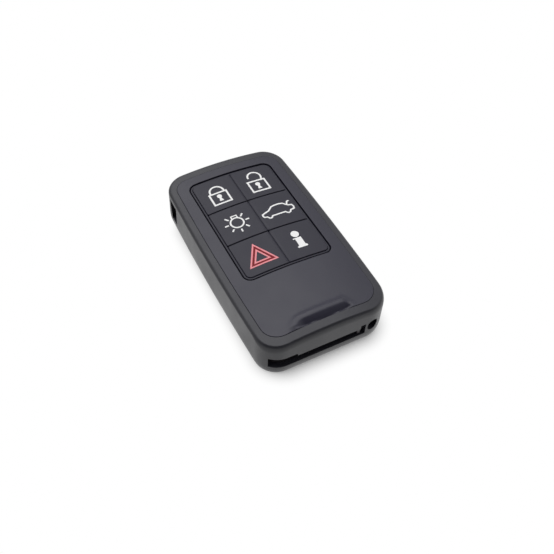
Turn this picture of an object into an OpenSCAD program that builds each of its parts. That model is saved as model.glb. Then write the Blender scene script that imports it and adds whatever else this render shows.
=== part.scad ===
// Six-button car key fob, lying on its back, with the lock buttons at the +Y end.
// Millimetres. The origin is the middle of the back face, +X to the right, +Z out of the buttons.

/* [Casing] */
// Width across the middle of the bowed sides
body_w = 43.5; // [41:0.5:48]
// Length from end to end
body_l = 77; // [74:0.5:90]
// Corner radius seen from the front
corner_r = 7; // [6:0.25:8]
// How far each long side bows out at its middle
side_bow = 0.5; // [0.3:0.1:1]
// Radius of the crowned front, bent about the long axis
crown_r = 128; // [90:1:250]
// Wall thickness of the casing
wall = 1.8; // [1.5:0.05:2]
// How far the lower edge draws in
foot_r = 0.8; // [0.5:0.05:0.9]
// Height over which the lower edge draws in
foot_h = 3.4; // [0.8:0.1:4]
// Width of the rim beside the front panel
rim_w = 2.75; // [2.5:0.05:3.4]
// How much wider the rim is at the ends of the panel
rim_end = 0.6; // [0:0.05:0.8]
// How far the rim lies below the panel at their seam
rim_step = 0.1; // [0:0.01:0.2]
// How far the rim falls away from the panel before its edge rounds over
rim_drop = 0.3; // [0.1:0.05:0.5]
// Radius of the rounded front edge
edge_r = 1.2; // [0.8:0.05:1.5]
// Width of the ledge that carries the front panel
seat_w = 1.3; // [1:0.05:1.6]
// Thickness of that ledge
seat_t = 1; // [0.8:0.05:1.2]

/* [Rear cover] */
// Thickness of the rear cover
cover_t = 1.2; // [1:0.05:1.6]
// Thickness of the casing lip outside the cover
cover_lip = 1.2; // [1.1:0.05:1.3]
// Gap of the seams between the shells
seam = 0.12; // [0.08:0.01:0.2]
// Width of a snap hook on the cover
hook_w = 4; // [3:0.25:6]
// Thickness of a snap hook
hook_t = 0.7; // [0.6:0.05:0.8]
// Height of a snap hook above the cover
hook_h = 1.8; // [1.6:0.1:2.2]
// How far the barb of a hook stands out
barb = 0.35; // [0.25:0.05:0.45]
// Distance of the hooks from the middle of the fob
hook_y = 17; // [14:0.5:20]

/* [Front panel] */
// Thickness of the panel at its crown
panel_t = 2.7; // [2.6:0.05:4]
// Skin left over the hollows under the panel
panel_skin = 1.6; // [1.4:0.05:2]
// Rib between two hollows
panel_rib = 1; // [0.8:0.05:1.4]
// Number of hollows side by side
panel_hollows = 3; // [2:1:4]
// Distance of the button window from each side of the fob
window_side = 6.8; // [6.4:0.05:8]
// Distance of the window from the far end of the fob
window_top = 6.8; // [6.4:0.05:8]
// Distance of the window from the end with the key slot
window_end = 24.85; // [23:0.05:28]
// Corner radius of the window
window_r = 2.8; // [2.4:0.1:3.4]
// Width of the thumb scoop
scoop_w = 18.5; // [16:0.5:24]
// Reach of the thumb scoop from the lower edge of the panel
scoop_l = 2.2; // [1.8:0.1:4.5]
// Depth of the thumb scoop at the lower edge of the panel
scoop_depth = 1.4; // [0.8:0.05:1.8]
// Radius of the rounded ends of the thumb scoop
scoop_r = 2; // [1.6:0.1:6]
// Strip left between the scoop and the lower edge of the panel
scoop_edge = 0.35; // [0.2:0.05:0.6]

/* [Buttons] */
// Height of the upper row, from the window edge to the first groove
row_top = 15.05; // [14:0.05:16]
// Height of the middle row, from groove to groove
row_mid = 14.8; // [14:0.05:16]
// Groove between two rows of buttons
key_gap = 0.3; // [0.25:0.05:0.5]
// Groove between the two columns of buttons
column_gap = 0.1; // [0.08:0.01:0.5]
// Travel of a button
key_travel = 0.4; // [0.2:0.05:0.6]
// How far the buttons stand above the panel
key_proud = 0.05; // [0:0.05:0.4]
// Diameter of the plunger under a button
plunger_d = 3; // [2.5:0.1:4]
// Least gap left under a pressed button
press_gap = 0.05; // [0.03:0.01:0.1]
// Gap between the rim of the mat and the window
mat_gap = 0.4; // [0.3:0.05:0.6]
// Width of the rim of the mat round the buttons
mat_rim = 0.6; // [0.4:0.05:0.6]
// How far that rim lies below the panel
mat_sink = 0.35; // [0.2:0.05:0.6]
// Gap between the buttons and the mat
key_clear = 0.1; // [0.1:0.01:0.2]
// Thickness of the web of the mat under the buttons
mat_web = 0.6; // [0.5:0.05:0.8]
// Height of the mat from the board to the panel seat
mat_h = 2; // [1.9:0.05:2.4]
// Width of the flange of the mat under the panel
mat_flange = 0.8; // [0.6:0.05:1.2]

/* [Circuit board] */
// Thickness of the circuit board
board_t = 0.8; // [0.6:0.05:1.2]
// Distance from the casing's outline to the edge of the board
board_inset = 3.4; // [3.2:0.05:3.8]
// Distance from the end zone to the edge of the board
board_gap = 0.8; // [0.5:0.1:1.5]
// Spacing of the microcontroller, the radio chip and the crystal
chip_pitch = 8; // [7.5:0.1:9]
// Diameter of a snap dome
dome_d = 5; // [4:0.1:6]
// Height of a snap dome
dome_h = 0.5; // [0.4:0.05:0.6]
// Gap between the domes and the web of the mat
dome_clear = 0.4; // [0.3:0.05:0.5]
// Side of the square microcontroller
micro_w = 6; // [5:0.5:7]
// Side of the square radio chip
radio_w = 4; // [3:0.5:5]
// Height of the chips
chip_h = 0.9; // [0.7:0.05:1]
// Length of the quartz crystal
crystal_l = 3.2; // [2.5:0.1:5]
// Width of the quartz crystal
crystal_w = 2.5; // [2:0.1:3.2]
// Length of a small chip part
part_l = 1.2; // [1:0.1:1.6]
// Width of a small chip part
part_w = 0.7; // [0.5:0.05:0.8]
// Gap between two small chip parts
part_gap = 1.7; // [1:0.1:2]
// Distance of each row of small parts from the row of chips
part_row = 4.3; // [4:0.1:4.6]
// Number of small chip parts in each of two rows
part_count = 7; // [4:1:8]
// Side of the square three-axis receiving aerial
aerial_w = 11.5; // [9:0.5:12]
// Height of the receiving aerial
aerial_h = 3.4; // [2.5:0.1:3.6]
// Distance from the side of the board to the aerial
aerial_edge = 3.6; // [3:0.1:5]
// Gap between the aerial and the transponder
aerial_gap = 1.6; // [1:0.1:2.5]
// Distance from the edge of the board to the winding
rod_edge = 0.6; // [0.4:0.1:1]
// Diameter of the transponder's ferrite rod
rod_d = 2.6; // [2:0.1:2.8]
// Length of the ferrite rod
rod_l = 13; // [11:0.5:15]
// Thickness of the winding on the rod
winding_t = 0.5; // [0.3:0.05:0.6]
// Length of the winding
winding_l = 8; // [6:0.5:9]

/* [Cells] */
// Diameter of a button cell
cell_d = 20; // [18:0.1:22]
// Height of a button cell
cell_h = 3.2; // [2.5:0.1:3.6]
// Radius of the rounded edge of a cell
cell_r = 0.4; // [0.2:0.05:0.5]
// Thickness of the tab between the cells
tab_t = 0.2; // [0.15:0.05:0.3]
// Diameter of the tab between the cells
tab_d = 15; // [12:0.5:16]
// Clearance round the cells
cell_clear = 0.25; // [0.2:0.05:0.4]
// Sheet thickness of the contacts
contact_t = 0.25; // [0.2:0.05:0.3]
// Height of the contact dimples under the lower cell
contact_lift = 0.15; // [0.1:0.05:0.3]
// Least room for the contact above the upper cell
contact_room = 0.8; // [0.6:0.05:1.2]
// Width of the contact strips
contact_w = 5; // [4:0.25:7]

/* [Emergency key slot] */
// Height of the lower edge of the slot
slot_z = 3.5; // [3.4:0.05:4.5]
// Height of the slot where the head of the key goes in
head_h = 2.9; // [2:0.05:3]
// Height of the slot where the blade goes in
blade_h = 3.9; // [3.6:0.05:4.2]
// Width of the mouth for the blade
blade_w = 8.4; // [8:0.1:9]
// Wall of the blade channel towards the side of the casing
blade_wall = 0.9; // [0.7:0.05:1]
// Length of the blade channel from the end of the fob
blade_l = 54; // [48:0.5:56]
// Depth of the pocket for the head of the key
head_l = 9.5; // [8:0.25:10]
// How far round the left corner the slot reaches, in degrees
slot_turn = 45; // [35:1:50]
// Width of the raised notch at the right end of the slot
notch_w = 1.6; // [1.4:0.05:2]
// Height of the notch above the slot
notch_h = 1.4; // [1:0.05:1.6]

/* [Key catch] */
// Travel of the sliding catch
catch_travel = 1.1; // [0.8:0.05:1.3]
// Length of the catch
catch_l = 15.3; // [14:0.1:17]
// Width of the catch
catch_w = 3; // [2.8:0.05:3.2]
// Height of the catch
catch_h = 1.8; // [1.7:0.05:2]
// Thickness of the tab that shows in the slot
catch_tab = 1.1; // [0.9:0.05:1.3]
// Wall of the chassis in front of the catch
catch_front = 1.1; // [0.9:0.05:1.4]
// Solid end of the catch that the spring pushes on
catch_heel = 2; // [1.5:0.1:2.5]
// Width of the post that holds the other end of the spring
spring_post = 1.4; // [1:0.1:1.6]
// Width of the staples that hold the catch down
staple_w = 1.5; // [1:0.1:2]
// Wall of the staples beside the catch
staple_t = 0.6; // [0.4:0.05:0.8]
// Sliding clearance of the catch
catch_clear = 0.15; // [0.1:0.01:0.2]
// Diameter of the catch spring
spring_d = 1.5; // [1.3:0.05:1.6]
// Wire diameter of the catch spring
spring_wire = 0.22; // [0.18:0.01:0.25]
// Number of turns of the catch spring
spring_turns = 8; // [6:1:9]

/* [Key ring eyelet] */
// Distance from the square corner to the middle of the eyelet channel
eyelet_r = 7.45; // [7:0.05:8]
// Width of the eyelet channel
eyelet_w = 3.5; // [3:0.05:3.7]
// Height of the eyelet channel
eyelet_h = 4.3; // [3.8:0.05:4.5]
// Height of the middle of the eyelet channel
eyelet_z = 6.15; // [5.8:0.05:6.4]
// Wall left round the eyelet channel
eyelet_wall = 1.2; // [0.9:0.05:1.4]
// Post between the eyelet and the slot
post_w = 0.75; // [0.6:0.05:0.9]

/* [Docking pocket] */
// Distance of the pocket from the far end of the fob
dock_top = 6.9; // [6.9:0.1:9]
// Length of the pocket along the side
dock_l = 5.6; // [4:0.1:7]
// Height of the lower edge of the pocket
dock_z = 4.3; // [3.5:0.1:5]
// Height of the pocket
dock_h = 6.4; // [5:0.1:6.6]
// Depth of the pocket
dock_depth = 1.5; // [1:0.05:1.7]
// Wall left round the pocket inside the casing
dock_wall = 1; // [0.8:0.05:1.2]

/* [Chassis] */
// Clearance between the chassis and the casing
chassis_fit = 0.15; // [0.1:0.01:0.25]
// Web between the blade channel and the cells
chassis_web = 2.8; // [2:0.1:3.2]
// Thinnest roof over the blade channel and the key head
roof_t = 0.6; // [0.5:0.05:0.8]
// Length of the end zone that holds the key head and the catch
end_zone = 10.2; // [10.2:0.1:12]
// Distance from the end zone to the middle of the cells
cell_setback = 20.3; // [18:0.1:23]
// Clearance round the parts that hang under the board
pocket_clear = 0.25; // [0.2:0.05:0.4]

/* [Hidden] */
$fn = 96;
// Facets of the large crown cylinder
crown_fn = 720;
// Steps of the outline along half a side, round a corner and along half an end
side_steps = 3;
corner_steps = 12;
end_steps = 4;
// Steps of the rounded lower and front edges
foot_steps = 4;
edge_steps = 5;
// Sides of the spring wire and steps in one turn
wire_sides = 6;
turn_steps = 12;
// Overshoot of a cut past the face that it opens
over = 1;

// Heights of the stack, from the rear cover up to the panel
cell_z = cover_t + contact_t + contact_lift;
cell_upper_z = cell_z + cell_h + tab_t;
cell_top = cell_upper_z + cell_h;
board_z = max(cell_top + contact_room, slot_z + blade_h + roof_t);
board_top = board_z + board_t;
web_z = board_top + dome_h + dome_clear;
web_top = web_z + mat_web;
key_base = web_top + key_travel + press_gap;
plunger_z = board_top + dome_h + key_travel + press_gap;
seat_z = board_top + mat_h;
body_t = seat_z + panel_t;
ledge_z = seat_z - seat_t;

// Plan of the casing: bowed sides, round corners and straight ends
half_l = body_l / 2;
half_w = body_w / 2;
corner_y = half_l - corner_r;
side_r = (corner_y * corner_y + side_bow * side_bow) / (2 * side_bow);
side_x = half_w - side_r;
corner_x = side_x + sqrt(pow(side_r - corner_r, 2) - corner_y * corner_y);
side_a = atan2(corner_y, corner_x - side_x);

// Height of the crowned front above a point at distance x from the long axis
function crown_z(x) = body_t - crown_r + sqrt(crown_r * crown_r - x * x);

// X of the casing's outline, drawn in by n, at a place y along the side
function side_at(y, n) = side_x + sqrt(pow(side_r - n, 2) - y * y);

// One quarter of the outline, from the middle of the +X side to the middle of the +Y end,
// drawn in by n all round and by e more at the end
function quarter(n, e) = concat(
    [for (i = [0:side_steps]) let (a = side_a * i / side_steps)
        [side_x + (side_r - n) * cos(a), (side_r - n) * sin(a) * (1 - e / corner_y)]],
    [for (i = [1:corner_steps]) let (a = side_a + (90 - side_a) * i / corner_steps)
        [corner_x + (corner_r - n) * cos(a), corner_y - e + (corner_r - n) * sin(a)]],
    [for (i = [1:end_steps]) [corner_x * (1 - i / end_steps), half_l - n - e]]);

// The whole outline drawn in by n, and by e more at the ends, anticlockwise
function outline(n, e) = let (q = quarter(n, e), last = len(q) - 1) concat(
    q,
    [for (i = [last - 1:-1:0]) [-q[i].x, q[i].y]],
    [for (i = [1:last]) [-q[i].x, -q[i].y]],
    [for (i = [last - 1:-1:1]) [q[i].x, -q[i].y]]);

// Section of the casing wall as [distance in from the outline, more of it at the ends, height,
// 1 where it hangs from the crown]
casing_section = concat(
    [for (i = [0:foot_steps]) let (a = 90 * i / foot_steps)
        [foot_r * (1 - sin(a)), 0, foot_h * (1 - cos(a)), 0]],
    [for (i = [0:edge_steps]) let (a = 90 * i / edge_steps)
        [edge_r * (1 - cos(a)), 0, rim_drop + edge_r * (1 - sin(a)), 1]],
    [[rim_w, rim_end, rim_step, 1],
     [rim_w, rim_end, seat_z, 0],
     [rim_w + seat_w, rim_end, seat_z, 0],
     [rim_w + seat_w, rim_end, ledge_z, 0],
     [wall, 0, ledge_z, 0],
     [wall, 0, cover_t, 0],
     [cover_lip, 0, cover_t, 0],
     [cover_lip, 0, 0, 0]]);

// Places of the window and the buttons
window_w = body_w - 2 * window_side;
window_l = body_l - window_top - window_end;
window_y = half_l - window_top - window_l / 2;
key_inset = mat_gap + mat_rim + key_clear;
key_block_w = window_w - 2 * key_inset;
key_block_l = window_l - 2 * key_inset;
key_block_r = window_r - key_inset;
groove_1 = window_y + window_l / 2 - row_top;
groove_2 = groove_1 - row_mid;
row_edges = [window_y + key_block_l / 2, groove_1, groove_2, window_y - key_block_l / 2];
row_middles = [for (i = [0:2]) (row_edges[i] + row_edges[i + 1]) / 2];
column_middle = key_block_w / 4;

// Places of the slot, the eyelet, the catch and the pocket
eyelet_block_r = eyelet_r + eyelet_w / 2 + eyelet_wall;
slot_left = -(corner_x + corner_r * cos(slot_turn));
slot_right = half_w - eyelet_r - eyelet_w / 2 - post_w;
slot_step = slot_left + blade_w;
end_y = end_zone - half_l;
chassis_n = wall + chassis_fit;
blade_left = chassis_n + blade_wall - half_w + side_bow;
cell_bore = cell_d / 2 + cell_clear;
cell_x = slot_step + chassis_web + cell_bore;
cell_y = end_y + cell_setback;
catch_right = slot_right - catch_clear - catch_travel;
catch_left = catch_right - catch_l;
catch_floor = slot_z + head_h + roof_t + catch_clear;
catch_z = catch_floor + catch_clear;
catch_y = -half_l + chassis_n + catch_front + catch_w / 2;
spring_slot = spring_d + 2 * catch_clear;
spring_left = catch_left + catch_heel;
spring_l = catch_l / 2;
hook_face = side_at(hook_y + hook_w / 2, wall) - seam;
dock_y = half_l - dock_top - dock_l / 2;
dock_floor = -side_at(dock_y, 0) + dock_depth;

// Places of the parts on and under the board
board_end = end_y + board_gap;
mat_end = window_end - mat_flange - half_l;
chip_y = (board_end + mat_end) / 2;
winding_d = rod_d + 2 * winding_t;
rod_y = half_l - board_inset - winding_d / 2 - rod_edge;
rod_z = board_z - winding_d / 2 - pocket_clear;
aerial_x = half_w - board_inset - aerial_edge - aerial_w / 2;
aerial_y = rod_y - winding_d / 2 - aerial_w / 2 - aerial_gap;

casing_colour = "#36363b";
panel_colour = "#43434a";
rubber_colour = "#34343a";
inner_colour = "#55585c";

// Ring of triangles through the sections, closed on itself both ways
module swept_ring(section) {
    rings = [for (s = section) [for (p = outline(s[0], s[1]))
        [p.x, p.y, s[3] == 1 ? crown_z(p.x) - s[2] : s[2]]]];
    m = len(rings);
    k = len(rings[0]);
    polyhedron(
        points = [for (r = rings) each r],
        faces = [for (j = [0:m - 1]) for (i = [0:k - 1])
            let (a = j * k + i, b = j * k + (i + 1) % k,
                 c = ((j + 1) % m) * k + (i + 1) % k, d = ((j + 1) % m) * k + i)
            each [[a, c, b], [a, d, c]]]);
}

// Upright plate over the outline drawn in by n, and by e more at the ends
module plate(n, z0, z1, e = 0) {
    translate([0, 0, z0])
        linear_extrude(z1 - z0)
            polygon(outline(n, e));
}

// Box between two corners
module box(a, b) {
    translate(a)
        cube(b - a);
}

// Flat rectangle with round corners about the origin
module round_rect(w, l, r) {
    square([w - 2 * r, l], center = true);
    square([w, l - 2 * r], center = true);
    for (x = [-1, 1], y = [-1, 1])
        translate([x * (w / 2 - r), y * (l / 2 - r)])
            circle(r);
}

// Upright block over a round-cornered rectangle in the middle of the button window
module window_block(w, l, r, z0, z1) {
    translate([0, window_y, z0])
        linear_extrude(z1 - z0)
            round_rect(w, l, r);
}

// Everything under the crowned front, raised by lift
module under_crown(lift) {
    translate([0, 0, body_t - crown_r + lift])
        rotate([90, 0, 0])
            cylinder(r = crown_r, h = body_l + 2 * over, center = true, $fn = crown_fn);
}

// Mouths of the emergency key in the end wall, from the outside in to y
module slot_mouth(y) {
    box([slot_left, -half_l - over, slot_z], [slot_right, y, slot_z + head_h]);
    box([slot_left, -half_l - over, slot_z], [slot_step, y, slot_z + blade_h]);
}

// Curved channel that lets a key ring round the corner post
module eyelet_channel() {
    straight = eyelet_h - eyelet_w;
    translate([half_w, -half_l, eyelet_z])
        rotate([0, 0, 86])
            rotate_extrude(angle = 98)
                translate([eyelet_r, 0]) {
                    square([eyelet_w, straight], center = true);
                    for (s = [-1, 1])
                        translate([0, s * straight / 2])
                            circle(d = eyelet_w);
                }
}

// Solid quarter round the eyelet, grown by extra
module eyelet_block(extra, z0, z1) {
    translate([half_w, -half_l, z0])
        cylinder(r = eyelet_block_r + extra, h = z1 - z0);
}

// Wall behind the docking pocket, grown by extra
module dock_pad(extra) {
    grow = dock_wall + extra;
    box([-half_w + wall / 2, dock_y - dock_l / 2 - grow, dock_z - grow],
        [dock_floor + grow, dock_y + dock_l / 2 + grow, ledge_z + extra]);
}

// Hooks of the rear cover, drawn for both sides and both places
module cover_hooks(extra) {
    for (side = [-1, 1], y = [-hook_y, hook_y]) {
        mirror([side < 0 ? 1 : 0, 0, 0])
            box([hook_face - hook_t - extra, y - hook_w / 2 - extra, cover_t],
                [hook_face + extra, y + hook_w / 2 + extra, cover_t + hook_h + extra]);
    }
}

// Barbs of those hooks, or their grooves when grown by extra
module cover_barbs(extra) {
    for (side = [-1, 1], y = [-hook_y, hook_y]) {
        mirror([side < 0 ? 1 : 0, 0, 0])
            box([hook_face - hook_t / 2, y - hook_w / 2 - extra, cover_t + hook_h / 2 - extra],
                [hook_face + barb + extra, y + hook_w / 2 + extra, cover_t + hook_h + extra]);
    }
}

module casing() {
    color(casing_colour)
        difference() {
            union() {
                swept_ring(casing_section);
                intersection() {
                    eyelet_block(0, cover_t, ledge_z);
                    plate(wall / 2, cover_t, ledge_z);
                }
                dock_pad(0);
            }
            slot_mouth(-corner_y - over);
            box([slot_right - notch_w, -half_l - over, slot_z],
                [slot_right, -half_l + wall + over, slot_z + head_h + notch_h]);
            eyelet_channel();
            box([-half_w - over, dock_y - dock_l / 2, dock_z],
                [dock_floor, dock_y + dock_l / 2, dock_z + dock_h]);
            cover_barbs(seam);
        }
}

module rear_cover() {
    color(casing_colour) {
        plate(cover_lip + seam, 0, cover_t);
        cover_hooks(0);
        cover_barbs(0);
    }
}

// Thumb scoop: a ramp with rounded ends that rises away from the lower edge of the panel at y
module scoop_cut(y) {
    tilt = atan(scoop_depth / scoop_l);
    sunk = scoop_depth * cos(tilt);
    flat = scoop_w / 2 - sqrt(2 * scoop_r * sunk - sunk * sunk);
    intersection() {
        translate([0, y, body_t - scoop_depth])
            rotate([tilt - 90, 0, 0]) {
                box([-flat, -scoop_r, 0], [flat, 0, 2 * scoop_l]);
                for (s = [-1, 1])
                    translate([s * flat, -scoop_r, 0])
                        cylinder(r = scoop_r, h = 2 * scoop_l);
            }
        box([-scoop_w, y + scoop_edge, seat_z], [scoop_w, y + 2 * scoop_l, body_t + over]);
    }
}

module front_panel() {
    edge_n = rim_w + seam;
    edge_y = edge_n + rim_end - half_l;
    hollow_y0 = edge_y + scoop_l + panel_rib;
    hollow_y1 = mat_end - panel_rib;
    hollow_w = (window_w - (panel_hollows - 1) * panel_rib) / panel_hollows;
    color(panel_colour)
        difference() {
            intersection() {
                plate(edge_n, seat_z, body_t + over, rim_end);
                under_crown(0);
            }
            window_block(window_w, window_l, window_r, seat_z - over, body_t + over);
            scoop_cut(edge_y);
            intersection() {
                for (i = [0:panel_hollows - 1])
                    translate([-window_w / 2 + i * (hollow_w + panel_rib), hollow_y0, seat_z - over])
                        cube([hollow_w, hollow_y1 - hollow_y0, panel_t + over]);
                under_crown(-panel_skin);
            }
        }
}

module keypad_mat() {
    well_w = key_block_w + 2 * key_clear;
    well_l = key_block_l + 2 * key_clear;
    well_r = key_block_r + key_clear;
    rim_out = 2 * mat_gap;
    color(rubber_colour)
        difference() {
            union() {
                window_block(window_w + 2 * mat_flange, window_l + 2 * mat_flange,
                    window_r + mat_flange, board_top, seat_z);
                intersection() {
                    window_block(window_w - rim_out, window_l - rim_out, window_r - mat_gap,
                        web_z, body_t + over);
                    under_crown(-mat_sink);
                }
            }
            window_block(well_w, well_l, well_r, web_top, body_t + over);
            window_block(well_w, well_l, well_r, board_top - over, web_z);
            for (column = [-1, 1], y = row_middles)
                translate([column * column_middle, y, web_z - over])
                    cylinder(d = plunger_d + 2 * key_clear, h = mat_web + 2 * over);
        }
}

// Button in a column, -1 left or 1 right, and a row from 0 at the top
module button(column, row) {
    inner = column * column_gap / 2;
    outer = column * key_block_w / 2;
    top = row_edges[row] - (row == 0 ? 0 : key_gap / 2);
    bottom = row_edges[row + 1] + (row == 2 ? 0 : key_gap / 2);
    color(rubber_colour) {
        intersection() {
            window_block(key_block_w, key_block_l, key_block_r, key_base, body_t + over);
            box([min(inner, outer), bottom, key_base], [max(inner, outer), top, body_t + over]);
            under_crown(key_proud);
        }
        translate([column * column_middle, row_middles[row], plunger_z])
            cylinder(d = plunger_d, h = key_base - plunger_z + mat_web);
    }
}

module lock_button() {
    button(-1, 0);
}

module unlock_button() {
    button(1, 0);
}

module light_button() {
    button(-1, 1);
}

module tailgate_button() {
    button(1, 1);
}

module panic_button() {
    button(-1, 2);
}

module info_button() {
    button(1, 2);
}

// Moulded carrier with the cell well, the blade channel, the catch channel and pockets
module chassis() {
    catch_room = catch_w / 2 + catch_clear;
    staple_top = catch_z + catch_h + catch_clear;
    post_x = spring_left + spring_l;
    contact_room_w = contact_w / 2 + pocket_clear;
    color(inner_colour) {
        difference() {
            union() {
                plate(chassis_n, cover_t, board_z);
                for (x = [catch_left + catch_clear, catch_right - 2 * staple_w])
                    box([x, catch_y - catch_room - staple_t, board_z - over],
                        [x + staple_w, catch_y + catch_room + staple_t, staple_top + roof_t]);
            }
            translate([cell_x, cell_y, 0])
                cylinder(r = cell_bore, h = body_t);
            box([cell_x, cell_y - contact_room_w, cell_z],
                [cell_x + cell_bore + contact_t + pocket_clear, cell_y + contact_room_w, body_t]);
            slot_mouth(head_l - half_l);
            box([blade_left, -half_l, slot_z], [slot_step, blade_l - half_l, slot_z + blade_h]);
            box([catch_left - catch_clear, catch_y - catch_room, catch_floor],
                [half_w, catch_y + catch_room, staple_top]);
            box([catch_right - catch_tab - catch_clear, catch_y - catch_room, slot_z],
                [half_w, catch_y + catch_room, staple_top]);
            eyelet_block(chassis_fit, 0, body_t);
            dock_pad(chassis_fit);
            cover_hooks(chassis_fit);
            translate([aerial_x, aerial_y, board_z])
                cube([aerial_w + 2 * pocket_clear, aerial_w + 2 * pocket_clear,
                    2 * (aerial_h + pocket_clear)], center = true);
            rod_pocket(winding_l / 2, winding_d / 2);
            rod_pocket(rod_l / 2, rod_d / 2);
        }
        box([post_x, catch_y - spring_slot / 2 + catch_clear, catch_floor - roof_t],
            [post_x + spring_post, catch_y + spring_slot / 2 - catch_clear, catch_z + catch_h - catch_clear]);
    }
}

// Trough under the board for a part of the transponder rod
module rod_pocket(half_length, radius) {
    x = half_length + pocket_clear;
    r = radius + pocket_clear;
    translate([0, rod_y, rod_z])
        rotate([0, 90, 0])
            cylinder(r = r, h = 2 * x, center = true);
    box([-x, rod_y - r, rod_z], [x, rod_y + r, board_z + over]);
}

module circuit_board() {
    color("#2f6b45")
        difference() {
            plate(board_inset, board_z, board_top);
            box([-body_w, -body_l, board_z - over], [body_w, board_end, board_top + over]);
        }
}

// Six snap domes, one under each button
module snap_domes() {
    r = (dome_d * dome_d / 4 + dome_h * dome_h) / (2 * dome_h);
    color("#c9c9c4")
        for (column = [-1, 1], y = row_middles)
            translate([column * column_middle, y, board_top])
                intersection() {
                    translate([0, 0, dome_h - r])
                        sphere(r = r, $fn = 360);
                    cylinder(d = dome_d + over, h = dome_h + over);
                }
}

module microcontroller() {
    color("#26262a")
        translate([-chip_pitch, chip_y, board_top + chip_h / 2])
            cube([micro_w, micro_w, chip_h], center = true);
}

module radio_chip() {
    color("#26262a")
        translate([0, chip_y, board_top + chip_h / 2])
            cube([radio_w, radio_w, chip_h], center = true);
}

module crystal() {
    color("#c2c4c6")
        translate([chip_pitch, chip_y, board_top + chip_h / 2])
            cube([crystal_l, crystal_w, chip_h], center = true);
}

// Two rows of small chip parts beside the chips
module chip_parts() {
    pitch = part_w + part_gap;
    color("#8a7a66")
        for (row = [-1, 1], i = [0:part_count - 1])
            translate([(i - (part_count - 1) / 2) * pitch, chip_y + row * part_row, board_top + part_w / 2])
                cube([part_w, part_l, part_w], center = true);
}

module receiving_aerial() {
    color("#3a3a3e")
        translate([aerial_x, aerial_y, board_z - aerial_h / 2])
            cube([aerial_w, aerial_w, aerial_h], center = true);
}

module ferrite_rod() {
    color("#4a4744")
        translate([0, rod_y, rod_z])
            rotate([0, 90, 0])
                cylinder(d = rod_d, h = rod_l, center = true);
}

module transponder_winding() {
    color("#b8733a")
        translate([0, rod_y, rod_z])
            rotate([0, 90, 0])
                difference() {
                    cylinder(d = winding_d, h = winding_l, center = true);
                    cylinder(d = rod_d, h = winding_l + over, center = true);
                }
}

// Button cell with rounded edges, standing on z
module cell(z) {
    color("#c6c7c8")
        translate([cell_x, cell_y, z])
            rotate_extrude() {
                square([cell_d / 2 - cell_r, cell_h]);
                translate([0, cell_r])
                    square([cell_d / 2, cell_h - 2 * cell_r]);
                for (y = [cell_r, cell_h - cell_r])
                    translate([cell_d / 2 - cell_r, y])
                        circle(cell_r);
            }
}

module cell_lower() {
    cell(cell_z);
}

module cell_upper() {
    cell(cell_upper_z);
}

// White tab that parts the two cells
module cell_tab() {
    color("#f2f2ee")
        translate([cell_x, cell_y, cell_z + cell_h]) {
            cylinder(d = tab_d, h = tab_t);
            box([-contact_w / 2, 0, 0], [contact_w / 2, cell_d / 2 - cell_r, tab_t]);
        }
}

// Contact strip of sheet metal with two dimples, lying at z with the dimples towards side
module contact_strip(z, side, lift) {
    dimple_d = contact_w / 2;
    translate([cell_x, cell_y, z]) {
        box([-cell_d / 3, -contact_w / 2, 0], [cell_d / 3, contact_w / 2, contact_t]);
        for (x = [-cell_d / 5, cell_d / 5])
            translate([x, 0, side > 0 ? contact_t / 2 : contact_t / 2 - lift - contact_t / 2])
                cylinder(d = dimple_d, h = lift + contact_t / 2);
    }
}

module contact_lower() {
    color("#cdb98a")
        contact_strip(cover_t, 1, contact_lift);
}

module contact_upper() {
    color("#cdb98a")
        contact_strip(board_z - contact_t, -1, board_z - contact_t - cell_top);
}

// Upright contact against the side of the cells, soldered under the board
module contact_side() {
    x = cell_x + cell_bore;
    color("#cdb98a")
        box([x - cell_clear / 2, cell_y - contact_w / 2, cell_z + cell_h / 2],
            [x - cell_clear / 2 + contact_t, cell_y + contact_w / 2, board_z]);
}

// Sliding catch with a window for its spring and a tab that shows in the slot
module key_catch() {
    tab_left = catch_right - catch_tab;
    tab_y0 = -half_l + wall / 3;
    color("#2c2c30") {
        difference() {
            box([catch_left, catch_y - catch_w / 2, catch_z],
                [catch_right, catch_y + catch_w / 2, catch_z + catch_h]);
            box([spring_left, catch_y - spring_slot / 2, catch_z - over],
                [spring_left + spring_l + spring_post + catch_travel + catch_clear, catch_y + spring_slot / 2,
                 catch_z + catch_h + over]);
        }
        box([tab_left, catch_y - catch_w / 2, slot_z + catch_clear],
            [catch_right, catch_y + catch_w / 2, catch_z + catch_h]);
        box([tab_left, tab_y0, slot_z + catch_clear],
            [catch_right, catch_y, slot_z + head_h - catch_clear]);
    }
}

// Compression spring that pushes the catch towards the key, one tube along a helix
module catch_spring() {
    steps = spring_turns * turn_steps;
    r = (spring_d - spring_wire) / 2;
    length = spring_l - spring_wire - 2 * press_gap;
    points = [for (i = [0:steps]) let (a = 360 * i / turn_steps)
        for (j = [0:wire_sides - 1]) let (b = 360 * j / wire_sides, w = spring_wire / 2)
            [length * i / steps + w * sin(b), (r + w * cos(b)) * cos(a), (r + w * cos(b)) * sin(a)]];
    first = [for (j = [wire_sides - 1:-1:0]) j];
    last = [for (j = [0:wire_sides - 1]) steps * wire_sides + j];
    color("#b9bcc0")
        translate([spring_left + spring_wire / 2 + press_gap, catch_y, catch_z + catch_h / 2])
            polyhedron(points = points, faces = concat([first], [last],
                [for (i = [0:steps - 1]) for (j = [0:wire_sides - 1])
                    let (a = i * wire_sides + j, b = i * wire_sides + (j + 1) % wire_sides,
                         c = b + wire_sides, d = a + wire_sides)
                    each [[a, b, c], [a, c, d]]]));
}

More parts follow.
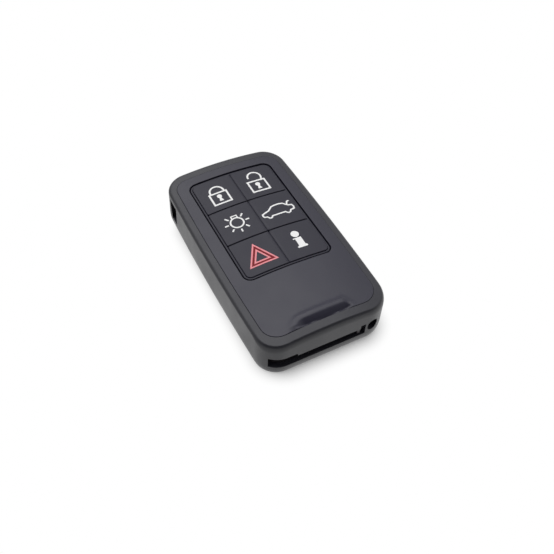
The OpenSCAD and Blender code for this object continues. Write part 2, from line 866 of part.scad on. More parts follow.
casing();
rear_cover();
front_panel();
keypad_mat();
lock_button();
unlock_button();
light_button();
tailgate_button();
panic_button();
info_button();
chassis();
circuit_board();
snap_domes();
microcontroller();
radio_chip();
crystal();
chip_parts();
receiving_aerial();
ferrite_rod();
transponder_winding();
cell_lower();
cell_upper();
cell_tab();
contact_lower();
contact_upper();
contact_side();
key_catch();
catch_spring();
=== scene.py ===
# %% [markdown]
# # A six-button car key fob
# The fob is a moulded casing with an inlaid front panel, a rubber keypad, a snapped-in rear cover and the
# electronics between them. They come in as a fixed frame, at their real size and place. This lesson gives
# each piece that shows a finer mesh in the same place, and each piece a finish made of shader nodes.

# %% Load the frame
import math

import bmesh
import bpy
from mathutils import Matrix, Vector


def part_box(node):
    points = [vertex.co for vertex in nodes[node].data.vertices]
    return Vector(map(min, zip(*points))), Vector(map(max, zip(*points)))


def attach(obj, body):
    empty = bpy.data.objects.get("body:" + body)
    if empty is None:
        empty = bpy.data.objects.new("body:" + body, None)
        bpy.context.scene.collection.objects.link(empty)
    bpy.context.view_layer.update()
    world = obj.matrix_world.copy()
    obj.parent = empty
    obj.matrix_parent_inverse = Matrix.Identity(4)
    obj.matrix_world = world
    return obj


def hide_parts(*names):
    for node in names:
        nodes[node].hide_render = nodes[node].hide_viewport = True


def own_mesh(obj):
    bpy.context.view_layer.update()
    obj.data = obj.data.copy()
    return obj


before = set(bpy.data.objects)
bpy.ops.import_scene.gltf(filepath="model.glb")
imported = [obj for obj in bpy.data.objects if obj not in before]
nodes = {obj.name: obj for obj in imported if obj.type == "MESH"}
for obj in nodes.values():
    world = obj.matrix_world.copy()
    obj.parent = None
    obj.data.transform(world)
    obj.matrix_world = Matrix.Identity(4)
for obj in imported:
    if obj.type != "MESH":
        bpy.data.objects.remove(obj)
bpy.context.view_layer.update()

MM = 0.001

# %% [markdown]
# ## Colours, nodes and objects
# Colours are written as sRGB hex, the way a colour picker shows them, and shaders want linear values, so
# one function converts them. A second one adds a shader node with its settings and links, which keeps a
# material as short as a recipe: each line is one ingredient. A third puts an object into the scene.


# %% Three helpers
def hex_linear(code):
    """An sRGB hex colour as linear red, green, blue and alpha."""
    channels = [int(code[i:i + 2], 16) / 255 for i in (1, 3, 5)]
    linear = [c / 12.92 if c <= 0.04045 else ((c + 0.055) / 1.055) ** 2.4 for c in channels]
    return (*linear, 1.0)


def add_node(tree, kind, inputs=None, **settings):
    """A shader node. Its inputs take numbers and colours, or the output socket of another node."""
    node = tree.nodes.new(kind)
    for name, value in settings.items():
        setattr(node, name, value)
    for socket, value in (inputs or {}).items():
        if isinstance(value, bpy.types.NodeSocket):
            tree.links.new(value, node.inputs[socket])
        else:
            node.inputs[socket].default_value = value
    return node


def add_object(name, data):
    """An object in the scene with this data."""
    obj = bpy.data.objects.new(name, data)
    bpy.context.scene.collection.objects.link(obj)
    return obj


print("mid grey #808080 is", round(hex_linear("#808080")[0], 3), "in linear light")

# %% [markdown]
# ## The camera
# The photograph looks down on the fob from its lower left corner. Its viewpoint was found by fitting the
# outline, the panel line and the button window. The three directions of the view go into the columns of a
# matrix, which is surer than angles, because the picture is also turned a little about its middle.

# %% Camera
VIEW_FROM = Vector((-70.674, -130.620, 171.629)) * MM
VIEW_RIGHT = Vector((0.88831, -0.45821, 0.03069))
VIEW_UP = Vector((0.33426, 0.69095, 0.64098))
LENS = 45.26
SENSOR = 36

camera = add_object("camera", bpy.data.cameras.new("camera"))
turned = Matrix((VIEW_RIGHT, VIEW_UP, VIEW_RIGHT.cross(VIEW_UP))).transposed()
camera.matrix_world = Matrix.Translation(VIEW_FROM) @ turned.to_4x4()
camera.data.lens = LENS
camera.data.sensor_width = SENSOR
camera.data.clip_start = 1 * MM
bpy.context.scene.camera = camera
print("the camera stands", round(VIEW_FROM.length / MM), "mm from the fob")

# %% [markdown]
# ## The sweep
# A sheet of white paper lies under the fob. In the photograph only the part of its shadow close to the fob
# is left. A brighter lamp would wash the rest out, and the fob too. So rays that look straight at the
# paper see plain white, at a strength of 1, away from the fob, and the lit paper with its shadow close to
# it, more so in front, where the shadow falls. Reflections see the white too, and the paper lights the fob
# as paper does.

# %% White sweep
FLOOR_SIZE = 3.0
# The rounded rectangle round which the shadow stays: its half sizes, its corners and its shift to the front
SHADOW_HALF = (22.7 * MM, 38.5 * MM)
SHADOW_R = 11 * MM
SHADOW_SHIFT = 3.5 * MM
# Distances outwards from it between which the white comes in
SHADOW_FROM = -6.8 * MM
SHADOW_TO = 2.4 * MM


def white_sweep():
    """White paper: lit, with its shadow, near the fob, and plain white further away for rays that see it."""
    material = bpy.data.materials.new("white_paper_sweep")
    material.use_nodes = True
    tree = material.node_tree
    tree.nodes.clear()
    # The distance from a rounded rectangle is the length of what reaches past its core.
    core = [half - SHADOW_R for half in SHADOW_HALF]
    place = add_node(tree, "ShaderNodeNewGeometry").outputs["Position"]
    for operation, other in [("ADD", (0, SHADOW_SHIFT, 0)), ("ABSOLUTE", (0, 0, 0)),
                             ("SUBTRACT", (*core, 1)), ("MAXIMUM", (0, 0, 0))]:
        place = add_node(tree, "ShaderNodeVectorMath", {0: place, 1: other}, operation=operation).outputs[0]
    away = add_node(tree, "ShaderNodeVectorMath", {0: place}, operation="LENGTH").outputs["Value"]
    stretch = {"Value": away, "From Min": SHADOW_R + SHADOW_FROM, "From Max": SHADOW_R + SHADOW_TO}
    fade = add_node(tree, "ShaderNodeMapRange", stretch, interpolation_type="SMOOTHSTEP").outputs[0]
    path = add_node(tree, "ShaderNodeLightPath").outputs
    seen = add_node(tree, "ShaderNodeMath", {0: path["Is Camera Ray"], 1: fade}, operation="MULTIPLY")
    for ray in ("Is Glossy Ray", "Is Transmission Ray"):
        either = {0: seen.outputs[0], 1: path[ray]}
        seen = add_node(tree, "ShaderNodeMath", either, operation="ADD", use_clamp=True)
    paper = add_node(tree, "ShaderNodeBsdfDiffuse", {"Color": hex_linear("#f8f8f7")}).outputs[0]
    white = add_node(tree, "ShaderNodeEmission", {"Color": (1, 1, 1, 1), "Strength": 1}).outputs[0]
    mixed = add_node(tree, "ShaderNodeMixShader", {0: seen.outputs[0], 1: paper, 2: white})
    add_node(tree, "ShaderNodeOutputMaterial", {"Surface": mixed.outputs[0]})
    return material


reach = FLOOR_SIZE / 2
sheet = [(-reach, -reach, 0), (reach, -reach, 0), (reach, reach, 0), (-reach, reach, 0)]
floor_mesh = bpy.data.meshes.new("floor")
floor_mesh.from_pydata(sheet, [], [(0, 1, 2, 3)])
floor_mesh.materials.append(white_sweep())
floor = add_object("floor", floor_mesh)
print("the sweep is", FLOOR_SIZE, "m wide")

# %% [markdown]
# ## The light tent
# A light tent is bright above and behind, and darker on the side where the photographer stands. That
# darker side draws the dark lines along the edges that face the camera. The back wall is dimmer near the
# floor too. Walls of cloth could be modelled, but a world whose colour changes with direction reflects in
# the same way. One broad lamp overhead gives the soft shadow.

# %% Tent
TENT_BRIGHT, TENT_DARK = "#f4f4f4", "#747477"
TENT_STRENGTH, BACK_STRENGTH = 0.8, 0.45
DARK_SIDE = Vector((-0.40, -0.87, 0.30)).normalized()
LOW_BACK = Vector((0.25, 0.92, 0.2)).normalized()
# Cosines of the angle to that side between which the tent changes
DARK_TURN = (-0.1, 0.8)
BACK_TURN = (0.86, 0.98)


def towards(tree, side, turn, away, at_side):
    """A value that changes smoothly from away to at_side in the directions near one side of the tent."""
    direction = add_node(tree, "ShaderNodeTexCoord").outputs["Generated"]
    cosine = add_node(tree, "ShaderNodeVectorMath", {0: direction, 1: side}, operation="DOT_PRODUCT")
    change = {"Value": cosine.outputs["Value"], "From Min": turn[0], "From Max": turn[1],
              "To Min": away, "To Max": at_side}
    return add_node(tree, "ShaderNodeMapRange", change, interpolation_type="SMOOTHSTEP").outputs[0]


world = bpy.data.worlds.new("light_tent")
world.use_nodes = True
bpy.context.scene.world = world
tree = world.node_tree
tree.nodes.clear()
cloth = {0: towards(tree, DARK_SIDE, DARK_TURN, 0, 1), 6: hex_linear(TENT_BRIGHT), 7: hex_linear(TENT_DARK)}
tent = add_node(tree, "ShaderNodeMix", cloth, data_type="RGBA").outputs[2]
strength = towards(tree, LOW_BACK, BACK_TURN, TENT_STRENGTH, BACK_STRENGTH)
background = add_node(tree, "ShaderNodeBackground", {"Color": tent, "Strength": strength})
add_node(tree, "ShaderNodeOutputWorld", {"Surface": background.outputs[0]})
print(world.name, "has", len(tree.nodes), "nodes")

# %% Softbox
LAMP_SIZE = 1.5
LAMP_AT = Vector((-0.02, 0.48, 1.1))
LAMP_WATTS = 8.4

lamp = add_object("softbox", bpy.data.lights.new("softbox", "AREA"))
lamp.data.shape = "DISK"
lamp.data.size = LAMP_SIZE
lamp.data.energy = LAMP_WATTS
lamp.location = LAMP_AT
lamp.rotation_euler = LAMP_AT.to_track_quat("Z", "Y").to_euler()
bpy.context.scene.view_settings.view_transform = "Standard"
print("the softbox is", LAMP_SIZE, "m across and", round(LAMP_AT.length, 2), "m away")

# %% [markdown]
# ## Moulded plastic
# The casing and the panel are ABS, moulded against spark-eroded steel. That steel leaves a fine even
# grain, which makes the plastic satin and not glossy. A grain could be modelled, but it is far finer than
# the mesh, so it is a bump: noise at the pitch of the grain. A second, much wider noise changes the
# roughness a little, as the fill of the mould and handling do.

# %% Start of a material, and the moulded grain
# Noise seldom leaves this range.
NOISE_LOW, NOISE_HIGH = 0.3, 0.7


def pitch(size_mm):
    """The noise scale that gives a pattern of this size in millimetres, in coordinates in metres."""
    return 1 / (size_mm * MM)


def start(name, constants):
    """A new material, its tree, its shader with some constants, and the piece's coordinates in metres."""
    material = bpy.data.materials.new(name)
    material.use_nodes = True
    tree = material.node_tree
    shader = tree.nodes["Principled BSDF"]
    for socket, value in constants.items():
        shader.inputs[socket].default_value = value
    place = add_node(tree, "ShaderNodeTexCoord").outputs["Object"]
    return material, tree, shader, place


def grain(tree, shader, place, size_mm, depth_mm, rough, rough_change, patch_mm=9.0):
    """A fine bump and a slow change of roughness on the shader."""
    fine = add_node(tree, "ShaderNodeTexNoise", {"Vector": place, "Scale": pitch(size_mm), "Detail": 2.0})
    bump = add_node(tree, "ShaderNodeBump", {"Height": fine.outputs["Fac"], "Distance": depth_mm * MM})
    slow = add_node(tree, "ShaderNodeTexNoise", {"Vector": place, "Scale": pitch(patch_mm), "Detail": 3.0})
    change = {"Value": slow.outputs["Fac"], "From Min": NOISE_LOW, "From Max": NOISE_HIGH,
              "To Min": rough - rough_change, "To Max": rough + rough_change}
    roughness = add_node(tree, "ShaderNodeMapRange", change)
    tree.links.new(bump.outputs["Normal"], shader.inputs["Normal"])
    tree.links.new(roughness.outputs[0], shader.inputs["Roughness"])
    return slow.outputs["Fac"]


def two_tone(tree, shader, fac, first, second):
    """A base colour that drifts between two close colours."""
    tones = {0: fac, 6: hex_linear(first), 7: hex_linear(second)}
    colour = add_node(tree, "ShaderNodeMix", tones, data_type="RGBA").outputs[2]
    tree.links.new(colour, shader.inputs["Base Color"])
    return colour


print("a grain of 0.4 mm has a noise scale of", round(pitch(0.4)))

# %% ABS of the casing
# A spark-eroded grain is about 0.1 mm wide. It is drawn at 0.4 mm here, the finest that shows in the render.
# It breaks each reflection up into a soft satin band.
abs_casing, tree, shader, place = start("abs_moulded_spark_eroded_charcoal", {"IOR": 1.45})
slow = grain(tree, shader, place, size_mm=0.4, depth_mm=0.022, rough=0.38, rough_change=0.04)
moulded = two_tone(tree, shader, slow, "#27272d", "#2b2b31")
# Faces that point up are painted paler: a painted highlight from the light above, which lifts the rim.
TOP_LIGHT_FROM, TOP_LIGHT_TO = 0.85, 0.98
normal = add_node(tree, "ShaderNodeNewGeometry").outputs["Normal"]
facing_up = add_node(tree, "ShaderNodeSeparateXYZ", {0: normal}).outputs["Z"]
top_light_range = {"Value": facing_up, "From Min": TOP_LIGHT_FROM, "From Max": TOP_LIGHT_TO}
painted_top_light = add_node(tree, "ShaderNodeMapRange", top_light_range).outputs[0]
# Upward faces take this paler colour as painted light.
tones = {0: painted_top_light, 6: moulded, 7: hex_linear("#34343b")}
top_lit_colour = add_node(tree, "ShaderNodeMix", tones, data_type="RGBA")
tree.links.new(top_lit_colour.outputs[2], shader.inputs["Base Color"])
print(abs_casing.name, "has", len(tree.nodes), "nodes")

# %% ABS of the front panel
# The inlay is the same plastic with a bluer pigment and a little finer grain, drawn coarser in the same way.
# It looks cooler and smoother than the casing round it.
abs_panel, tree, shader, place = start("abs_moulded_fine_grain_blue_charcoal", {"IOR": 1.5})
slow = grain(tree, shader, place, size_mm=0.35, depth_mm=0.015, rough=0.40, rough_change=0.04)
two_tone(tree, shader, slow, "#252434", "#2a2939")
print(abs_panel.name, "has", len(tree.nodes), "nodes")

# %% [markdown]
# ## Rubber and ink
# The keypad is silicone rubber with a matt lacquer, softer to the eye than the plastic: more even, less
# sharp in its reflections, with a faint sheen at grazing angles. The signs are screen-printed epoxy ink, a
# film a few hundredths of a millimetre thick that covers almost fully, with tiny differences of coverage.

# %% Silicone of the keypad
# The lacquer takes the shine off the rubber, so that it stays the darkest surface on the front.
lacquer = {"IOR": 1.46, "Sheen Weight": 0.04, "Sheen Roughness": 0.4}
silicone, tree, shader, place = start("silicone_rubber_matt_lacquer", lacquer)
slow = grain(tree, shader, place, size_mm=0.22, depth_mm=0.006, rough=0.5, rough_change=0.03)
two_tone(tree, shader, slow, "#1e1d2d", "#222131")
print(silicone.name, "has", len(tree.nodes), "nodes")


# %% Epoxy inks
# Ink dries to a dull film, so the signs keep a flat, even colour from every side.
def ink(name, thin, full):
    """Screen-printed epoxy ink between its thinnest and its full coverage."""
    material, tree, shader, place = start(name, {"IOR": 1.5, "Specular IOR Level": 0.2})
    slow = grain(tree, shader, place, 0.2, 0.003, rough=0.45, rough_change=0.05, patch_mm=1.5)
    two_tone(tree, shader, slow, thin, full)
    return material


ink_white = ink("epoxy_ink_white", "#fcfcfb", "#ffffff")
ink_red = ink("epoxy_ink_light_red", "#f7959c", "#fca2a8")
ink_dark_red = ink("epoxy_ink_dark_red", "#7c0c1a", "#881420")
print("inks:", ink_white.name, ink_red.name, ink_dark_red.name)

# %% [markdown]
# ## The plan of the casing
# Seen from the front the fob is a rectangle with slightly bowed sides, straight ends and round corners,
# which can be rounder at the near end. Every ring of the mesh is this outline drawn in by some distance,
# so a function of that distance gives them all, with the same number of points each. The front is crowned:
# bent about the long axis to a large radius. The width and the length come from the frame.

# %% Outline and crown
casing_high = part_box("casing")[1]
HALF_W = casing_high.x
HALF_L = casing_high.y
BODY_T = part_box("front_panel")[1].z
CORNER_R = 7 * MM
SIDE_BOW = 0.5 * MM
CROWN_R = 128 * MM
SIDE_STEPS, CORNER_STEPS, END_STEPS = 40, 14, 72

side_y = HALF_L - CORNER_R
side_r = (side_y ** 2 + SIDE_BOW ** 2) / (2 * SIDE_BOW)
side_x = HALF_W - side_r


def corner_arc(r):
    """Centre of a corner arc that touches a side and the end, and the angle at which it meets the side."""
    y = HALF_L - r
    x = side_x + math.sqrt((side_r - r) ** 2 - y ** 2)
    return x, y, math.atan2(y, x - side_x)


def spread(first, last, count):
    """Count numbers from first towards last, which is left for the next stretch."""
    return [first + (last - first) * i / count for i in range(count)]


def arc(x, y, r, angles):
    """Points of an arc about (x, y)."""
    return [(x + r * math.cos(a), y + r * math.sin(a)) for a in angles]


def half_outline(inset, at_ends, before, first, second):
    """The right side, from a corner of radius before, and the far end with corners of two radii."""
    x, y, a = corner_arc(first)
    x_last, y_last, a_last = corner_arc(second)
    side = arc(side_x, 0, side_r - inset, spread(-corner_arc(before)[2], a, SIDE_STEPS))
    half = [(p, q * (1 - at_ends / side_y)) for p, q in side]
    half += arc(x, y - at_ends, first - inset, spread(a, math.pi / 2, CORNER_STEPS))
    half += [(p, HALF_L - inset - at_ends) for p in spread(x, -x_last, END_STEPS)]
    last_turn = spread(math.pi / 2, math.pi - a_last, CORNER_STEPS)
    return half + arc(-x_last, y_last - at_ends, second - inset, last_turn)


def outline(inset, at_ends=0, near_left=0, near_right=0):
    """The plan of the casing drawn in by inset, by more at the ends, with near corners that are rounder."""
    left_r, right_r = CORNER_R + near_left, CORNER_R + near_right
    far_half = half_outline(inset, at_ends, right_r, CORNER_R, CORNER_R)
    return far_half + [(-x, -y) for x, y in half_outline(inset, at_ends, CORNER_R, left_r, right_r)]


def crown_z(x):
    """Height of the crowned front at a distance x from the long axis."""
    return BODY_T - CROWN_R + math.sqrt(CROWN_R ** 2 - x ** 2)


crown_fall = round((BODY_T - crown_z(HALF_W)) / MM, 2)
print("the outline has", len(outline(0)), "points, and the front falls", crown_fall, "mm to the sides")

# %% [markdown]
# ## From rings to a mesh
# Most pieces are lofts: rings of points with quads between them, closed at both ends or joined into a
# loop. Blender has skin and screw modifiers for this, but writing the rings gives exact places. One
# function makes the mesh, and another smooths it up to an angle and seats it on the body that carries it.


# %% Lofts
def loft(rings, looped=False):
    """Points and faces of a loft through rings, with a cap at each end or joined into a loop."""
    count, columns = len(rings), len(rings[0])
    faces = []
    for j in range(count if looped else count - 1):
        below, above = j * columns, (j + 1) % count * columns
        for i in range(columns):
            k = (i + 1) % columns
            faces.append((below + i, below + k, above + k, above + i))
    if not looped:
        last = (count - 1) * columns
        faces += [tuple(range(columns))[::-1], tuple(range(last, last + columns))]
    return sum(rings, []), faces


def level(plan, z):
    """The points of a plan at one height."""
    return [(x, y, z) for x, y in plan]


def prism(plan, low, high):
    """Points and faces of an upright solid with this plan between two heights."""
    return loft([level(plan, low), level(plan, high)])


def blend(p, q, t):
    """What lies at a share t of the way from p to q."""
    return tuple(a + (b - a) * t for a, b in zip(p, q))


unit_square = [(0, 0), (1, 0), (1, 1), (0, 1)]
print("a cube as a loft has", len(prism(unit_square, 0, 1)[1]), "faces")

# %% Pieces on their bodies
SMOOTH_DEG = 35


def soften(mesh, smooth_deg):
    """Smooth shading, with an edge kept sharp where the faces turn more than the angle."""
    mesh.shade_smooth()
    mesh.set_sharp_from_angle(angle=math.radians(smooth_deg))


def seat(name, mesh, material, body, replaced, smooth_deg):
    """An object with the mesh, smooth up to an angle, that rides on a body if it has one."""
    obj = add_object(name, mesh)
    mesh.materials.append(material)
    soften(mesh, smooth_deg)
    if body:
        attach(obj, body)
    if replaced:
        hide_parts(*replaced)
    return obj


def piece(name, shape, material, body=None, replaced=(), smooth_deg=SMOOTH_DEG):
    """An object made of points and faces, which are turned to face outwards."""
    points, faces = shape
    mesh = bpy.data.meshes.new(name)
    mesh.from_pydata([tuple(p) for p in points], [], faces)
    made = bmesh.new()
    made.from_mesh(mesh)
    bmesh.ops.recalc_face_normals(made, faces=made.faces)
    made.to_mesh(mesh)
    made.free()
    return seat(name, mesh, material, body, replaced, smooth_deg)


# %% [markdown]
# ## The casing
# The casing is one moulded ring with a rounded foot, side walls that lean in a hair, a rounded shoulder
# and a sloping rim round the panel. The shoulder is taller and softer at the near end. A bevelled curve
# could carry only one section round, so the rings are written out: the section is drawn for the sides and
# again for the near end, and the two are blended round the near corners. A row of it is the distance in
# from the outline, the plan that it follows, the height, and whether that height hangs from the crown, so
# that the shoulder rises and falls with the front.

# %% Section of the casing
WALL = 1.8 * MM
FOOT_R = 0.8 * MM
FOOT_H = 3.4 * MM
# Lean of the wall, drop of the rim to its edge, and width and height of the rounded shoulder
SHOULDER = (0.18 * MM, 0.08 * MM, 1.15 * MM, 0.8 * MM)
NEAR_SHOULDER = (0 * MM, 0.4 * MM, 1.1 * MM, 2.5 * MM)
# Distances from the near end at which its shoulder starts and is complete
NEAR_FROM, NEAR_TO = 9.5 * MM, 1.5 * MM
RIM_STEP = 0.1 * MM
RIM_W = 2.75 * MM
RIM_LIP = 0.05 * MM
RIM_END = 0.6 * MM
# How much further in a plan lies at the ends, and how much rounder its near left and near right corners are
OUTER_PLAN = (0, 0.2 * MM, 1.4 * MM)
RIM_PLAN = (RIM_END, 1.1 * MM, 2.2 * MM)
INNER_PLAN = (0, 0, 0)
SEAT_W = 1.3 * MM
SEAT_T = 1.0 * MM
COVER_T = 1.2 * MM
COVER_LIP = 1.2 * MM
# A height counts down from the crown or up from the table.
HUNG, STANDING = True, False
# Steps of a small rounded edge, of the foot and the shoulder, and of the lip
EDGE_STEPS, SHOULDER_STEPS, LIP_STEPS = 4, 10, 3
seat_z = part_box("front_panel")[0].z
ledge_z = seat_z - SEAT_T


def quarter(steps=EDGE_STEPS):
    """Sine and cosine of angles from 0 to 90 degrees."""
    return [(math.sin(a), math.cos(a)) for a in [math.pi / 2 * i / steps for i in range(steps + 1)]]


def wall_section(lean, rim_drop, edge_w, edge_h):
    """The rows of the wall's section, from the foot up over the rim and back down inside."""
    rows = [(FOOT_R * (1 - s), OUTER_PLAN, FOOT_H * (1 - c), STANDING)
            for s, c in quarter(SHOULDER_STEPS)]
    rows += [(lean + edge_w * (1 - c), OUTER_PLAN, rim_drop + edge_h * (1 - s), HUNG)
             for s, c in quarter(SHOULDER_STEPS)]
    rows += [(RIM_W - RIM_LIP * (1 - s), RIM_PLAN, RIM_STEP + RIM_LIP * (1 - c), HUNG)
             for s, c in quarter(LIP_STEPS)]
    seat_in = RIM_W + SEAT_W
    inside = [(RIM_W, RIM_PLAN, seat_z), (seat_in, RIM_PLAN, seat_z), (seat_in, RIM_PLAN, ledge_z),
              (WALL, INNER_PLAN, ledge_z), (WALL, INNER_PLAN, COVER_T),
              (COVER_LIP, OUTER_PLAN, COVER_T), (COVER_LIP, OUTER_PLAN, 0)]
    return rows + [(*row, STANDING) for row in inside]


print("the wall's section has", len(wall_section(*SHOULDER)), "points")


# %% Casing
def wall_ring(inset, plan, height, hangs):
    """One row of the section carried round the outline."""
    return [Vector((x, y, crown_z(x) - height if hangs else height)) for x, y in outline(inset, *plan)]


def near_share(y):
    """0 along the sides, and 1 at the near end, with a smooth change round its corners."""
    t = (NEAR_FROM - HALF_L - y) / (NEAR_FROM - NEAR_TO)
    t = min(max(t, 0), 1)
    return t * t * (3 - 2 * t)


casing_rings = []
for row, near_row in zip(wall_section(*SHOULDER), wall_section(*NEAR_SHOULDER)):
    pairs = zip(wall_ring(*row), wall_ring(*near_row))
    casing_rings.append([p.lerp(q, near_share(p.y)) for p, q in pairs])
casing = piece("casing_shell", loft(casing_rings, looped=True), abs_casing,
               "fob", ["casing"])
print(casing.name, "has", len(casing.data.polygons), "faces before its openings are cut")

# %% [markdown]
# ## Openings of the casing
# The end wall has the flat slot of the emergency key and the mouth of the key-ring eyelet, and the left
# wall has a docking pocket. Real edges catch light, so each opening gets a small rounding. The boolean
# marks the faces that the cutter left with a second material slot, which makes the edges of the cut easy
# to find.

# %% Cut with rounded edges
WELD = 0.02 * MM


def block(low, high):
    """Points and faces of a box between two corners."""
    plan = [(low[0], low[1]), (high[0], low[1]), (high[0], high[1]), (low[0], high[1])]
    return prism(plan, low[2], high[2])


def apply_boolean(obj, tool, operation):
    """The mesh of obj after a boolean with tool, which is then removed."""
    modifier = obj.modifiers.new("boolean", "BOOLEAN")
    modifier.object = tool
    modifier.operation = operation
    modifier.solver = "EXACT"
    bpy.context.view_layer.update()
    mesh = bpy.data.meshes.new_from_object(obj.evaluated_get(bpy.context.evaluated_depsgraph_get()))
    obj.modifiers.clear()
    obj.data = mesh
    bpy.data.objects.remove(tool)


def cut(obj, shape, rounding):
    """Cuts a closed shape out of obj and rounds the edges that the cut leaves."""
    tool = piece("cutter", shape, obj.data.materials[0])
    tool.data.materials.append(obj.data.materials[0])
    for face in tool.data.polygons:
        face.material_index = 1
    obj.data.materials.append(obj.data.materials[0])
    apply_boolean(obj, tool, "DIFFERENCE")
    made = bmesh.new()
    made.from_mesh(obj.data)
    bmesh.ops.remove_doubles(made, verts=made.verts, dist=WELD)
    edges = [e for e in made.edges if len({f.material_index for f in e.link_faces}) == 2]
    if rounding:
        bmesh.ops.bevel(made, geom=edges, offset=rounding, segments=3, profile=0.5, affect="EDGES",
                        clamp_overlap=True)
    for face in made.faces:
        face.material_index = 0
    made.to_mesh(obj.data)
    made.free()
    obj.data.materials.pop(index=1)
    return len(edges)


# %% Solid corner for the eyelet
EYELET_R = 7.45 * MM
EYELET_W = 3.5 * MM
EYELET_WALL = 1.2 * MM
ROUND_STEPS = 32

solid_r = EYELET_R + EYELET_W / 2 + EYELET_WALL
ring = arc(HALF_W, -HALF_L, solid_r, spread(math.pi / 2, math.pi, ROUND_STEPS) + [math.pi])
ring.append((HALF_W, -HALF_L))
corner = piece("corner", prism(ring, COVER_T, ledge_z), abs_casing)
plate = piece("plate", prism(outline(WALL / 2, *OUTER_PLAN), 0, BODY_T), abs_casing)
apply_boolean(corner, plate, "INTERSECT")
apply_boolean(casing, corner, "UNION")
print("the solid corner is", round(solid_r / MM, 2), "mm in radius")

# %% Key slot with its step and notch
SLOT_Z = 3.5 * MM
HEAD_H = 2.9 * MM
BLADE_H = 3.9 * MM
BLADE_W = 8.4 * MM
NOTCH_W = 1.6 * MM
NOTCH_H = 1.4 * MM
POST_W = 0.75 * MM
SLOT_TURN = math.radians(45)
OVER = 1.0 * MM
LIP = 0.2 * MM

corner_x, corner_y = corner_arc(CORNER_R)[:2]
slot_left = -(corner_x + CORNER_R * math.cos(SLOT_TURN))
slot_right = HALF_W - EYELET_R - EYELET_W / 2 - POST_W
slot_step = slot_left + BLADE_W
notch_left = slot_right - NOTCH_W
head_top, blade_top = SLOT_Z + HEAD_H, SLOT_Z + BLADE_H
notch_top = head_top + NOTCH_H
profile = [(slot_left, SLOT_Z), (slot_right, SLOT_Z), (slot_right, notch_top), (notch_left, notch_top),
           (notch_left, head_top), (slot_step, head_top), (slot_step, blade_top), (slot_left, blade_top)]
slot = loft([[(x, y, z) for x, z in profile] for y in (-HALF_L - OVER, -corner_y - OVER)])
print("slot:", cut(casing, slot, LIP), "edges rounded")

# %% Eyelet round the corner
EYELET_H = 4.3 * MM
EYELET_Z = 6.15 * MM
EYELET_FROM_DEG, EYELET_SWEEP_DEG = 84, 102
EYELET_STEPS, BORE_STEPS = 40, 16

straight = (EYELET_H - EYELET_W) / 2
bore = arc(0, straight, EYELET_W / 2, spread(0, math.pi, BORE_STEPS) + [math.pi])
bore += arc(0, -straight, EYELET_W / 2, spread(math.pi, 2 * math.pi, BORE_STEPS) + [2 * math.pi])
eyelet_rings = []
for i in range(EYELET_STEPS + 1):
    turn = math.radians(EYELET_FROM_DEG + EYELET_SWEEP_DEG * i / EYELET_STEPS)
    out_x, out_y = math.cos(turn), math.sin(turn)
    eyelet_rings.append([(HALF_W + (EYELET_R + across) * out_x, -HALF_L + (EYELET_R + across) * out_y,
                          EYELET_Z + up) for across, up in bore])
print("eyelet:", cut(casing, loft(eyelet_rings), LIP), "edges rounded")

# %% Docking pocket
DOCK_TOP = 6.9 * MM
DOCK_L = 5.2 * MM
DOCK_Z = 3.7 * MM
DOCK_H = 7.0 * MM
DOCK_DEPTH = 1.5 * MM
DOCK_WALL = 1.0 * MM

dock_y = HALF_L - DOCK_TOP - DOCK_L / 2
dock_y0, dock_y1 = dock_y - DOCK_L / 2, dock_y + DOCK_L / 2
dock_floor = DOCK_DEPTH - (side_x + math.sqrt(side_r ** 2 - dock_y ** 2))
pad = block((-HALF_W + WALL / 2, dock_y0 - DOCK_WALL, DOCK_Z - DOCK_WALL),
            (dock_floor + DOCK_WALL, dock_y1 + DOCK_WALL, ledge_z))
apply_boolean(casing, piece("pad", pad, abs_casing), "UNION")
pocket = block((-HALF_W - OVER, dock_y0, DOCK_Z), (dock_floor, dock_y1, DOCK_Z + DOCK_H))
print("docking pocket:", cut(casing, pocket, LIP), "edges rounded")
soften(casing.data, SMOOTH_DEG)
even = casing.modifiers.new("even_normals", "WEIGHTED_NORMAL")
even.keep_sharp = True
print(casing.name, "has", len(casing.data.polygons), "faces")

# %% [markdown]
# ## The front panel
# The panel is a crowned plate that stands a hair above the rim, with a window for the buttons and a thumb
# scoop at its lower edge. A grid with a boolean hole would leave ragged faces, so the rings run from the
# outer edge to the window and the quads flow between the two outlines, closer together at the outer edge.
# The scoop is a formula: a hollow with round ends, deepest at the lower edge and blended into the front by
# a smooth maximum. Towards its ends a thin strip of the front stays along that edge. A low ridge runs
# round the scoop, gentler on the scoop's side and fading at the right end, and gives the thumb its hold.

# %% Window
SEAM = 0.08 * MM
WINDOW_SIDE = 6.8 * MM
WINDOW_TOP = 6.8 * MM
WINDOW_END = 24.85 * MM
WINDOW_R = 2.8 * MM

window_half_w = HALF_W - WINDOW_SIDE
window_y0 = WINDOW_END - HALF_L
window_y1 = HALF_L - WINDOW_TOP


def window(inset):
    """The button window drawn in by inset, with as many points as the outline and in the same order."""
    middle = (window_y0 + window_y1) / 2
    r = WINDOW_R - inset
    x, y = window_half_w - WINDOW_R, window_y1 - middle - WINDOW_R
    half = [(x + r, b) for b in spread(-y, y, SIDE_STEPS)]
    half += arc(x, y, r, spread(0, math.pi / 2, CORNER_STEPS))
    half += [(a, y + r) for a in spread(x, -x, END_STEPS)]
    half += arc(-x, y, r, spread(math.pi / 2, math.pi, CORNER_STEPS))
    return [(a, b + middle) for a, b in half + [(-a, -b) for a, b in half]]


print("the window is", round((window_y1 - window_y0) / MM, 2), "mm long")

# %% Scoop
# Distances from the middle at which the flat part of the scoop ends, and the scoop itself
SCOOP_LEFT, SCOOP_RIGHT = (6.3 * MM, 9.3 * MM), (6.8 * MM, 8.6 * MM)
SCOOP_L = 2.35 * MM
SCOOP_DEPTH = 1.4 * MM
SCOOP_BLEND = 0.14 * MM
